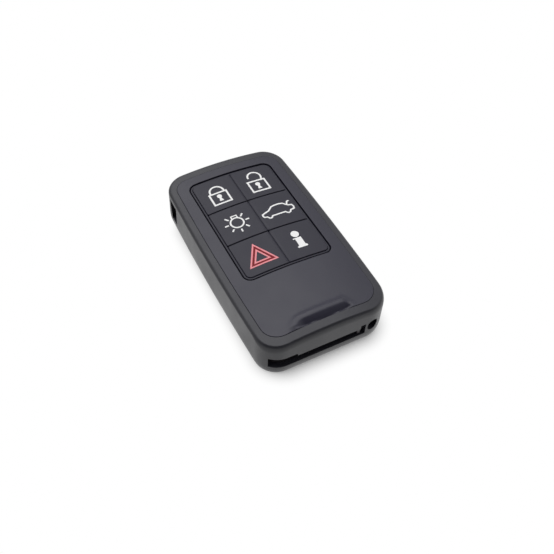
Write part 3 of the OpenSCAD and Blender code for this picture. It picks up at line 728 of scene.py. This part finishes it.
# Width of the strip along the edge, and of the slope down from it
STRIP_W, STRIP_WALL = 0.45 * MM, 0.3 * MM
# The ridge: its rise, its distance from the scoop, its width away from the scoop and towards it, how far
# from the edge it is at its full rise, and how fast it fades at the right end
RIDGE_RISE = 0.45 * MM
RIDGE_AT = 0.95 * MM
RIDGE_FAR, RIDGE_NEAR = 1.3 * MM, 2.2 * MM
RIDGE_FADE = 1.3 * MM
RIDGE_LOSS = 2.5

panel_n = RIM_W + SEAM
panel_end = panel_n + RIM_END - HALF_L


def scoop(x, y):
    """Depth of the thumb scoop under the crown, less the low ridge round it."""
    up = max(y - panel_end, 0)
    flat, end = SCOOP_LEFT if x < 0 else SCOOP_RIGHT
    past_flat = max(abs(x) - flat, 0) / (end - flat)
    reach = math.hypot(past_flat, up / SCOOP_L)
    hollow = SCOOP_DEPTH * (1 - reach)
    hollow = (hollow + math.sqrt(hollow ** 2 + SCOOP_BLEND ** 2)) / 2
    past_strip = min(max((up - STRIP_W) / STRIP_WALL, 0), 1)
    hollow *= 1 - min((x / end) ** 2, 1) * (1 - past_strip)
    from_ridge = (reach - 1) * SCOOP_L - RIDGE_AT
    ridge_w = RIDGE_FAR if from_ridge > 0 else RIDGE_NEAR
    ridge = RIDGE_RISE * math.exp(-(from_ridge / ridge_w) ** 2)
    if x > 0:
        ridge /= 1 + RIDGE_LOSS * past_flat ** 2
    return hollow - ridge * min(up / RIDGE_FADE, 1)


print("the scoop is", round(scoop(0, panel_end) / MM, 2), "mm deep at the edge")

# %% Panel
PANEL_EDGE = 0.1 * MM
WINDOW_EDGE = 0.15 * MM
PANEL_RINGS = 64
RING_CROWDING = 1.6


def on_front(ring, drop=0):
    """Points of a ring laid on the panel's front, lowered by drop."""
    return [(x, y, crown_z(x) - scoop(x, y) - drop) for x, y in ring]


panel_rings = [level(outline(panel_n, *RIM_PLAN), seat_z)]
for s, c in quarter():
    panel_rings.append(on_front(outline(panel_n + PANEL_EDGE * (1 - c), *RIM_PLAN), PANEL_EDGE * (1 - s)))
outer, inner = outline(panel_n + PANEL_EDGE, *RIM_PLAN), window(-WINDOW_EDGE)
for u in spread(1 / PANEL_RINGS, 1, PANEL_RINGS - 1):
    panel_rings.append(on_front([blend(p, q, u ** RING_CROWDING) for p, q in zip(outer, inner)]))
panel_rings += [on_front(window(-WINDOW_EDGE * (1 - s)), WINDOW_EDGE * (1 - c)) for s, c in quarter()]
panel_rings.append(level(window(0), seat_z))
panel = piece("front_panel_inlay", loft(panel_rings, looped=True), abs_panel,
              "fob", ["front_panel"])
print(panel.name, "has", len(panel.data.polygons), "faces")

# %% [markdown]
# ## The keypad mat
# Under the buttons lies one moulded rubber mat. What shows of it is the low frame round the buttons, which
# lies a little deeper towards the upper right corner. The flange under the panel and the web with its six
# holes are inside. The frame is a loft with rounded upper edges, the web closes it, and the holes for the
# plungers are cut, because a loft can't leave them out.

# %% Mat
MAT_FLANGE = 0.8 * MM
MAT_GAP = 0.4 * MM
MAT_RIM = 0.6 * MM
MAT_SINK = (0.15 * MM, 0.35 * MM)
MAT_ROUND = 0.12 * MM
DOME_ROOM = 0.9 * MM
WEB_T = 0.6 * MM
PLUNGER_HOLE_R = 1.65 * MM
BUTTONS = ["lock", "unlock", "light", "tailgate", "panic", "info"]

board_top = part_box("keypad_mat")[0].z
web_z = board_top + DOME_ROOM
web_top = web_z + WEB_T
well = MAT_GAP + MAT_RIM


def mat_sink(x, y):
    """How far the frame lies below the crown, from the lower left corner to the upper right one."""
    along_x = (x + window_half_w) / (2 * window_half_w)
    along_y = (y - window_y0) / (window_y1 - window_y0)
    return MAT_SINK[0] + (MAT_SINK[1] - MAT_SINK[0]) * (along_x + along_y) / 2


def mat_top(ring, drop):
    """Points of a ring on the upper face of the frame, lowered by drop."""
    return [(x, y, crown_z(x) - mat_sink(x, y) - drop) for x, y in ring]


flange = window(-MAT_FLANGE)
mat_rings = [level(window(well), web_z), level(window(well), board_top), level(flange, board_top),
             level(flange, seat_z), level(window(MAT_GAP), seat_z)]
mat_rings += [mat_top(window(MAT_GAP + MAT_ROUND * (1 - c)), MAT_ROUND * (1 - s)) for s, c in quarter()]
mat_rings += [mat_top(window(well - MAT_ROUND * (1 - s)), MAT_ROUND * (1 - c)) for s, c in quarter()]
mat_rings.append(level(window(well), web_top))
mat = piece("keypad_frame", loft(mat_rings), silicone, "fob", ["keypad_mat"])
for name in BUTTONS:
    low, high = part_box(name + "_button")
    turns = spread(0, 2 * math.pi, ROUND_STEPS)
    hole = arc((low.x + high.x) / 2, (low.y + high.y) / 2, PLUNGER_HOLE_R, turns)
    cut(mat, prism(hole, web_z - OVER / 2, web_top + OVER / 2), 0)
soften(mat.data, SMOOTH_DEG)
print(mat.name, "has", len(mat.data.polygons), "faces")

# %% [markdown]
# ## The buttons
# The six buttons follow the crown. Their edges along the long axis are rounded widely, so the middle
# groove is a soft valley, while the grooves between the rows are crisp. The caps reach a little into the
# middle groove. Each button is one loft from the tip of its plunger, over the underside and the edge, to
# the middle of its top, so that no seam shows on it. The place and size come from the frame.

# %% Plan of a button
# Radius at the corners of the whole keypad, at the other corners, and the least that is drawn
BLOCK_R = 1.7 * MM
KEY_R = 0.35 * MM
LEAST_R = 0.05 * MM
KEY_SIDE_STEPS, KEY_CORNER_STEPS = 16, 8


def key_plan(low, high, radii, inset):
    """A rectangle with a radius for each corner, drawn in, anticlockwise from the foot of the right side."""
    x0, y0, x1, y1 = low.x + inset, low.y + inset, high.x - inset, high.y - inset
    r = [max(q - inset, LEAST_R) for q in radii]
    a, b, c, d = r
    corners = [(x1 - a, y1 - a), (x0 + b, y1 - b), (x0 + c, y0 + c), (x1 - d, y0 + d)]
    sides = [((x1, y0 + d), (x1, y1 - a)), ((x1 - a, y1), (x0 + b, y1)),
             ((x0, y1 - b), (x0, y0 + c)), ((x0 + c, y0), (x1 - d, y0))]
    points = []
    for i in range(4):
        points += [blend(*sides[i], t) for t in spread(0, 1, KEY_SIDE_STEPS)]
        points += arc(*corners[i], r[i], spread(i * math.pi / 2, (i + 1) * math.pi / 2, KEY_CORNER_STEPS))
    return points


print("a button's plan has", 4 * (KEY_SIDE_STEPS + KEY_CORNER_STEPS), "points")

# %% Edge and face of a button
PROUD = 0.05 * MM
# Width and depth of a rounded edge, and where its rings lie as shares of the wide one
CRISP = (0.22 * MM, 0.2 * MM)
SOFT = (0.9 * MM, 0.34 * MM)
EDGE_RINGS = [0, 0.01, 0.03, 0.06, 0.1, 0.15, 0.2, 0.245, 0.32, 0.42, 0.54, 0.68, 0.84, 1]


def edge_of(column_side):
    """Width and depth of the rounded edge for each point of a button, wide at the middle groove."""
    edges = []
    for i in range(4):
        here, after = [SOFT if s == column_side else CRISP for s in (i, (i + 1) % 4)]
        edges += [here] * KEY_SIDE_STEPS
        edges += [blend(here, after, t) for t in spread(0, 1, KEY_CORNER_STEPS)]
    return edges


def rounded_drop(distance, width, depth):
    """How far a rounded edge lies below the face at a distance in from the side."""
    t = max(1 - distance / width, 0)
    return depth * (1 - math.sqrt(max(1 - t * t, 0)))


def key_top(x):
    """Height of the button faces."""
    return crown_z(x) + PROUD


print("the wide edge falls", round(rounded_drop(0, *SOFT) / MM, 2), "mm")

# %% Buttons
CAP_RISE = 1.95 * MM
PLUNGER_R = 1.5 * MM
TIP_ROUND = 0.2 * MM
GROOVE_FILL = 0.05 * MM
TOP_FIRST, TOP_RINGS = 0.9, 9
cap_base = board_top + CAP_RISE


def button(name):
    """A button cap with its plunger."""
    low, high = [corner.copy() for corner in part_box(name + "_button")]
    cx, cy = (low.x + high.x) / 2, (low.y + high.y) / 2
    left = cx < 0
    if left:
        high.x += GROOVE_FILL
    else:
        low.x -= GROOVE_FILL
    radii = [KEY_R] * 4
    if name in ("lock", "unlock"):
        radii[1 if left else 0] = BLOCK_R
    if name in ("panic", "info"):
        radii[2 if left else 3] = BLOCK_R
    edges = edge_of(0 if left else 2)
    flat = key_plan(low, high, radii, 0)
    angles = [math.atan2(y - cy, x - cx) for x, y in flat]
    rings = [level(arc(cx, cy, PLUNGER_R / 2, angles), low.z),
             level(arc(cx, cy, PLUNGER_R - TIP_ROUND, angles), low.z),
             level(arc(cx, cy, PLUNGER_R, angles), low.z + TIP_ROUND),
             level(arc(cx, cy, PLUNGER_R, angles), cap_base),
             level(key_plan(low, high, radii, CRISP[0]), cap_base), level(flat, cap_base + CRISP[0])]
    for t in EDGE_RINGS:
        inset = SOFT[0] * t
        plan = key_plan(low, high, radii, inset)
        rings.append([(x, y, key_top(x) - rounded_drop(inset, *e)) for (x, y), e in zip(plan, edges)])
    # The last plan bounds the flat face, which closes in on the middle.
    for t in spread(TOP_FIRST, 0, TOP_RINGS):
        ring = [blend((cx, cy), point, t) for point in plan]
        rings.append([(x, y, key_top(x)) for x, y in ring])
    body = name + "_button"
    return piece(name + "_key", loft(rings), silicone, body, [body])


for name in BUTTONS:
    key = button(name)
    print(key.name, "has", len(key.data.polygons), "faces")

# %% [markdown]
# ## The printed signs
# Each button carries a plain sign: a closed and an open padlock, a lamp, a car with its tailgate up, a
# warning triangle and the letter of information. Ink could be painted by the shader, but a film of ink has
# a thickness and an edge, so each stroke is a low ribbon that follows the crown. A stroke is a list of
# corner points and arcs, and its two sides are found by mitring the corners.

# %% Strokes and fills
INK_RISE = 0.03 * MM
INK_ROOT = 0.02 * MM
INK_EDGE = 0.03 * MM
STEP = 0.6 * MM
MITRE_LIMIT = 0.3


def dense(path, closed):
    """The path with points added so that no step is long enough to cut into the crown."""
    points = []
    for a, b in zip(path, path[1:] + path[:1] if closed else path[1:]):
        count = max(1, math.ceil(math.dist(a, b) / STEP))
        points += [blend(a, b, t) for t in spread(0, 1, count)]
    return points if closed else points + path[-1:]


def stroke(path, width, closed=False):
    """Points and faces of a ribbon of ink along a path in metres."""
    path = dense(path, closed)
    count = len(path)
    half, side = width / 2, INK_RISE - INK_EDGE / 2
    ribbon = [(-half, -INK_ROOT), (-half, side), (-half + INK_EDGE, INK_RISE),
              (half - INK_EDGE, INK_RISE), (half, side), (half, -INK_ROOT)]
    rings = []
    for i in range(count):
        here = Vector(path[i])
        before = here - Vector(path[i - 1] if closed or i else path[0])
        after = Vector(path[(i + 1) % count] if closed or i < count - 1 else path[-1]) - here
        a = (before if before.length else after).normalized()
        b = (after if after.length else before).normalized()
        across = Vector((-(a + b).y, (a + b).x)).normalized()
        across = across / max(across.dot(Vector((-a.y, a.x))), MITRE_LIMIT)
        sides = [(here + across * offset, rise) for offset, rise in ribbon]
        rings.append([(p.x, p.y, key_top(p.x) + rise) for p, rise in sides])
    return loft(rings, looped=closed)


def fill(path):
    """Points and faces of a filled patch of ink inside a closed path in metres."""
    path = dense(path, True)
    return loft([[(x, y, key_top(x) + rise) for x, y in path] for rise in (-INK_ROOT, INK_RISE)])


print("the ink stands", round(INK_RISE / MM, 3), "mm above the rubber")


# %% Signs from parts given in millimetres
def joined(parts):
    """Points and faces of several shapes as one."""
    points, faces = [], []
    for part_points, part_faces in parts:
        faces += [tuple(i + len(points) for i in face) for face in part_faces]
        points += part_points
    return points, faces


def sign(name, body, material, parts):
    """One piece of ink made of strokes and fills."""
    obj = piece(name, joined(parts), material, body, smooth_deg=30)
    print(obj.name, "has", len(parts), "strokes and", len(obj.data.polygons), "faces")


def mm_path(*points):
    """A path given in millimetres."""
    return [(x * MM, y * MM) for x, y in points]


def mm_arc(x, y, r, first_deg, last_deg, steps=24):
    """A path along an arc given in millimetres and degrees, with its last point."""
    angles = [math.radians(a) for a in spread(first_deg, last_deg, steps) + [last_deg]]
    return arc(x * MM, y * MM, r * MM, angles)


# %% Padlocks
LOCK_LINE = 0.6 * MM


def keyhole(x, y):
    """A solid keyhole: a round head and a foot that widens downwards."""
    foot = mm_path((x - 0.38, y - 1.1), (x - 0.72, y - 2.2), (x + 0.72, y - 2.2), (x + 0.38, y - 1.1))
    return fill(mm_arc(x, y, 0.84, -60, 240) + foot)


sign("lock_sign", "lock_button", ink_white, [
    stroke(mm_path((-10.15, 19.3), (-4.25, 19.3), (-4.25, 24.25), (-10.15, 24.25)), LOCK_LINE, closed=True),
    stroke(mm_path((-9.52, 24.35)) + mm_arc(-7.2, 24.9, 2.32, 180, 0) + mm_path((-4.88, 24.35)), LOCK_LINE),
    keyhole(-7.25, 22.6)])
sign("unlock_sign", "unlock_button", ink_white, [
    stroke(mm_path((3.6, 19.25), (9.65, 19.25), (9.65, 24.2), (3.6, 24.2)), LOCK_LINE, closed=True),
    stroke(mm_path((8.75, 24.3)) + mm_arc(6.95, 26.1, 2.25, -20, 186), LOCK_LINE),
    keyhole(6.55, 22.5)])

# %% Lamp sign
LAMP_LINE, BASE_LINE = 0.52 * MM, 0.416 * MM
RAYS = [((-4.3, 9.3), (-2.95, 9.3)), ((-10.0, 9.3), (-11.3, 9.35)), ((-7.1, 6.3), (-7.1, 5.05)),
        ((-5.1, 11.25), (-4.1, 12.25)), ((-9.15, 11.25), (-10.1, 12.4)), ((-5.1, 7.2), (-4.25, 6.1)),
        ((-9.2, 7.15), (-10.0, 6.35))]
sign("light_sign", "light_button", ink_white, [
    stroke(mm_arc(-7.15, 9.3, 2.12, 0, 360)[:-1], LAMP_LINE, closed=True),
    stroke(mm_path((-8.05, 11.2), (-8.0, 12.4), (-6.15, 12.4), (-6.1, 11.2)), BASE_LINE),
    *[stroke(mm_path(*ray), LAMP_LINE) for ray in RAYS]])

# %% Car with its tailgate up
CAR_LINE = 0.52 * MM
car = mm_path((1.45, 8.65), (2.7, 9.15), (3.95, 9.5), (5.6, 10.95), (6.9, 11.2), (8.5, 11.3), (9.7, 11.1),
              (10.7, 10.05), (11.1, 9.7), (12.3, 9.5), (12.6, 8.6), (12.3, 7.65), (10.95, 7.4), (10.5, 6.65),
              (9.75, 6.4), (9.3, 6.7), (8.95, 7.2), (6.0, 7.1), (4.25, 7.05), (3.85, 6.5), (3.4, 6.35),
              (2.95, 6.5), (2.5, 7.2), (1.6, 7.4), (1.35, 8.0))
tailgate = mm_path((10.8, 10.05), (11.55, 11.4), (12.35, 11.6))
sign("tailgate_sign", "tailgate_button", ink_white, [
    stroke(car, CAR_LINE, closed=True), stroke(tailgate, CAR_LINE)])

# %% Warning triangle
WARN_LINE, GROUND_LINE = 0.5 * MM, 0.64 * MM
outer_warning = mm_path((-6.95, -1.4), (-11.35, -9.35), (-2.5, -9.35))
inner_warning = mm_path((-6.95, -3.8), (-9.4, -8.2), (-4.55, -8.2))
between = mm_path((-6.95, -2.6), (-10.4, -8.77), (-3.5, -8.77))
sign("warning_ground", "panic_button", ink_dark_red, [stroke(between, GROUND_LINE, closed=True)])
sign("warning_sign", "panic_button", ink_red, [
    stroke(outer_warning, WARN_LINE, closed=True), stroke(inner_warning, WARN_LINE, closed=True)])

# %% Letter of information
stem = mm_path((5.2, -4.55), (8.05, -4.5), (8.0, -7.75), (8.6, -8.2), (8.45, -8.7), (5.2, -8.7), (5.1, -8.3),
               (5.8, -7.75), (5.85, -4.95), (5.2, -5.0))
sign("info_sign", "info_button", ink_white, [fill(mm_arc(6.83, -2.9, 1.32, 0, 360)[:-1]), fill(stem)])

# %% [markdown]
# ## The rear cover
# The back is a plain plate that sits flush in the foot of the casing, with four snap hooks that grip the
# walls. The plate is a loft of the same outline with its edges rounded, which keeps its seam even. A hook
# is a profile drawn from the side and stretched along the wall, with a slope on its barb that lets it
# spring in.

# %% Cover and hooks
COVER_SEAM = 0.12 * MM
COVER_EDGE = 0.2 * MM
HOOK_W = 4 * MM
HOOK_T = 0.7 * MM
HOOK_H = 1.8 * MM
HOOK_Y = 17 * MM
BARB = 0.35 * MM
BARB_FROM, BARB_TO = COVER_T + 0.9 * MM, COVER_T + 1.116 * MM


def cover_ring(inset, height):
    """The plan of the cover, drawn in by some of its rounded edge."""
    return level(outline(COVER_LIP + COVER_SEAM + inset, *OUTER_PLAN), height)


cover_rings = [cover_ring(COVER_EDGE * (1 - s), COVER_EDGE * (1 - c)) for s, c in quarter()]
cover_rings += [cover_ring(COVER_EDGE * (1 - c), COVER_T - COVER_EDGE * (1 - s)) for s, c in quarter()]
cover_parts = [loft(cover_rings)]
hook_x = side_x + math.sqrt((side_r - WALL) ** 2 - (HOOK_Y + HOOK_W / 2) ** 2) - COVER_SEAM
hook_root, hook_top = COVER_T - COVER_EDGE, COVER_T + HOOK_H
hook = [(hook_x - HOOK_T, hook_root), (hook_x, hook_root), (hook_x, BARB_FROM), (hook_x + BARB, BARB_FROM),
        (hook_x + BARB, BARB_TO), (hook_x, hook_top), (hook_x - HOOK_T, hook_top)]
for side in (-1, 1):
    for y in (-HOOK_Y, HOOK_Y):
        ends = (y - HOOK_W / 2, y + HOOK_W / 2)
        cover_parts.append(loft([[(side * x, end, z) for x, z in hook] for end in ends]))
cover = piece("rear_cover_plate", joined(cover_parts), abs_casing, "fob", ["rear_cover"])
print(cover.name, "has", len(cover.data.polygons), "faces and", len(cover_parts) - 1, "hooks")

# %% [markdown]
# ## Finishes inside
# What lies inside shows only through the slot, and when a scene takes the fob apart. Each part still gets
# the finish of its real material. Metals take their look from what they reflect, so their base colour is
# light and their pattern is the mark of the process: turned rings, drawn wire, rolled sheet. The wound
# copper wire also carries a painted highlight on each turn.


# %% Plastics, ceramics and sheet metals inside
def plain_finish(name, first, second, size_mm, depth_mm, rough, metallic=0.0):
    """A finish with a grain of the given size and two close tones."""
    material, tree, shader, place = start(name, {"Metallic": metallic})
    slow = grain(tree, shader, place, size_mm, depth_mm, rough, rough_change=0.05)
    two_tone(tree, shader, slow, first, second)
    return material


# Moulded nylon is a dull dark grey, and chip resin a flat black with a sandy skin.
nylon = plain_finish("nylon_moulded_dark_grey", "#383437", "#3f3b3e", 0.4, 0.01, 0.5)
epoxy = plain_finish("epoxy_mould_compound_black", "#1c1c1e", "#232325", 0.15, 0.01, 0.62)
# Fired ceramic is smooth and tan, and sintered ferrite is a rough, dry grey.
ceramic = plain_finish("ceramic_fired_tan", "#84735d", "#93826b", 0.2, 0.005, 0.45)
ferrite = plain_finish("ferrite_sintered_grey", "#3a3836", "#464340", 0.25, 0.02, 0.7)
# Polyester film is a clean white with a slight gloss.
film = plain_finish("polyester_film_white", "#eeeeea", "#f7f7f4", 0.5, 0.003, 0.35)
# Rolled bronze shines warm, and drawn spring steel shines bright and cold.
bronze = plain_finish("phosphor_bronze_rolled", "#c79a5e", "#d3a86e", 0.3, 0.003, 0.3, 1.0)
spring_steel = plain_finish("spring_steel_drawn_bright", "#b4b7bb", "#c3c6c9", 0.1, 0.002, 0.25, 1.0)
print("finishes inside:", len(bpy.data.materials), "materials so far")

# %% Turned steel, wound wire and the board
# A wave of bands repeats every 0.314 units at scale 1, so its scale is found from the real distance.
BAND_UNIT = 0.314


def bands(tree, shader, place, every_mm, depth_mm, kind, along):
    """Parallel bands or rings as a bump."""
    pattern = {"Vector": place, "Scale": BAND_UNIT * pitch(every_mm), "Distortion": 0.4, "Detail": 1.0}
    settings = {"wave_type": kind, kind.lower() + "_direction": along}
    wave = add_node(tree, "ShaderNodeTexWave", pattern, **settings)
    bump = add_node(tree, "ShaderNodeBump", {"Height": wave.outputs["Fac"], "Distance": depth_mm * MM})
    tree.links.new(bump.outputs["Normal"], shader.inputs["Normal"])
    return wave.outputs["Fac"]


# The turned rings of a cell can are about 0.05 mm apart. They are drawn at 0.3 mm, so that they show. They
# draw the light out into a fan.
plated = {"Metallic": 1.0, "Roughness": 0.28}
cell_steel, tree, shader, place = start("steel_nickel_plated_turned", plated)
centre = (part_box("cell_upper")[0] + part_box("cell_upper")[1]) / 2
round_cell = add_node(tree, "ShaderNodeMapping", {"Vector": place, "Location": -centre}).outputs[0]
two_tone(tree, shader, bands(tree, shader, round_cell, 0.3, 0.002, "RINGS", "Z"), "#c4c3bd", "#d0cfc9")

# Enamelled wire of 0.2 mm lies turn by turn on the rod, so the bands run across the long axis of the rod.
# Each turn is painted from dark to light copper across its width, a painted highlight on every turn.
copper, tree, shader, place = start("copper_wire_enamelled", {"Metallic": 1.0, "Roughness": 0.3})
two_tone(tree, shader, bands(tree, shader, place, 0.2, 0.06, "BANDS", "X"), "#8a3f1c", "#b4622f")

# Green lacquer covers the copper of the board, and the copper tracks show through as paler lines.
TRACK_MM = 2.4
BLACK, WHITE = (0, 0, 0, 1), (1, 1, 1, 1)
laminate, tree, shader, place = start("glass_epoxy_green_solder_mask", {"Coat Weight": 0.3})
layout = {"Vector": place, "Scale": pitch(TRACK_MM), "Mortar Size": 0.06,
          "Color1": BLACK, "Color2": BLACK, "Mortar": WHITE}
tracks = add_node(tree, "ShaderNodeTexBrick", layout)
grain(tree, shader, place, size_mm=0.6, depth_mm=0.004, rough=0.32, rough_change=0.05)
two_tone(tree, shader, tracks.outputs["Color"], "#14462a", "#2b6b45")
print("metals and board:", cell_steel.name, copper.name, laminate.name)

# %% [markdown]
# ## The parts inside
# The shapes inside are plain moulded, stamped and turned ones, so their meshes come from the frame. What
# they lack are the small roundings of real parts. A copy of each mesh is cleaned of its triangles, its
# edges are bevelled and it is shaded smooth, and the copy stands for the node.

# %% Rounded copies
SAME_POINT = 0.001 * MM
SAME_PLANE = math.radians(0.5)
SHARP = math.radians(40)


def rounded_copy(node, material, slot, rounding_mm, body="fob"):
    """A copy of a CAD node with rounded edges, in its place."""
    made = bmesh.new()
    made.from_mesh(nodes[node].data)
    bmesh.ops.remove_doubles(made, verts=made.verts, dist=SAME_POINT)
    bmesh.ops.dissolve_limit(made, angle_limit=SAME_PLANE, verts=made.verts, edges=made.edges)
    edges = [e for e in made.edges if len(e.link_faces) == 2 and e.calc_face_angle() > SHARP]
    bmesh.ops.bevel(made, geom=edges, offset=rounding_mm * MM, segments=2, profile=0.5, affect="EDGES",
                    clamp_overlap=True)
    mesh = bpy.data.meshes.new(node + "_rounded")
    made.to_mesh(mesh)
    made.free()
    obj = seat(node + "_rounded", mesh, material, body, [node], smooth_deg=32)
    print(obj.name, "has", len(mesh.polygons), "faces")


INSIDE = [("chassis", nylon, "inner_plastic", 0.12), ("circuit_board", laminate, "board_laminate", 0.06),
          ("snap_domes", spring_steel, "spring_steel", 0.04), ("microcontroller", epoxy, "chip_resin", 0.08),
          ("radio_chip", epoxy, "chip_resin", 0.08), ("crystal", cell_steel, "cell_steel", 0.15),
          ("chip_parts", ceramic, "chip_ceramic", 0.06), ("receiving_aerial", epoxy, "chip_resin", 0.25),
          ("ferrite_rod", ferrite, "ferrite", 0.15), ("transponder_winding", copper, "copper_wire", 0.12),
          ("cell_lower", cell_steel, "cell_steel", 0.1), ("cell_upper", cell_steel, "cell_steel", 0.1),
          ("cell_tab", film, "tab_plastic", 0.03), ("contact_lower", bronze, "contact_bronze", 0.05),
          ("contact_upper", bronze, "contact_bronze", 0.05),
          ("contact_side", bronze, "contact_bronze", 0.05)]
for part in INSIDE:
    rounded_copy(*part)
rounded_copy("key_catch", nylon, "inner_plastic", 0.12, body="key_catch")

# %% [markdown]
# ## The catch spring
# A compression spring has a closed turn at each end, so that it stands square. A screw modifier would give
# every turn the same pitch, so the helix is a tube: a circle carried along a path whose pitch is small in
# the first and last turn.

# %% Spring
TURNS = 9
TURN_STEPS = 24
WIRE = 0.22 * MM
WIRE_SIDES = 10
CLOSED_PITCH = 0.242 * MM

low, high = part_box("catch_spring")
coil_r = (high.z - low.z - WIRE) / 2
middle = (low + high) / 2
length = high.x - low.x - WIRE
first_x = low.x + WIRE / 2
wire = arc(0, 0, WIRE / 2, spread(0, 2 * math.pi, WIRE_SIDES))
spring_rings = []
for i in range(TURNS * TURN_STEPS + 1):
    turn = i / TURN_STEPS
    if turn < 1:
        x = CLOSED_PITCH * turn
    elif turn > TURNS - 1:
        x = length - CLOSED_PITCH * (TURNS - turn)
    else:
        x = CLOSED_PITCH + (length - 2 * CLOSED_PITCH) * (turn - 1) / (TURNS - 2)
    out_y, out_z = math.cos(2 * math.pi * turn), math.sin(2 * math.pi * turn)
    spring_rings.append([(first_x + x + up, middle.y + (coil_r + across) * out_y,
                          middle.z + (coil_r + across) * out_z) for across, up in wire])
spring = piece("catch_spring_coil", loft(spring_rings), spring_steel,
               "fob", ["catch_spring"])
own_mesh(spring)
print(spring.name, "has", len(spring.data.polygons), "faces and", TURNS, "turns")
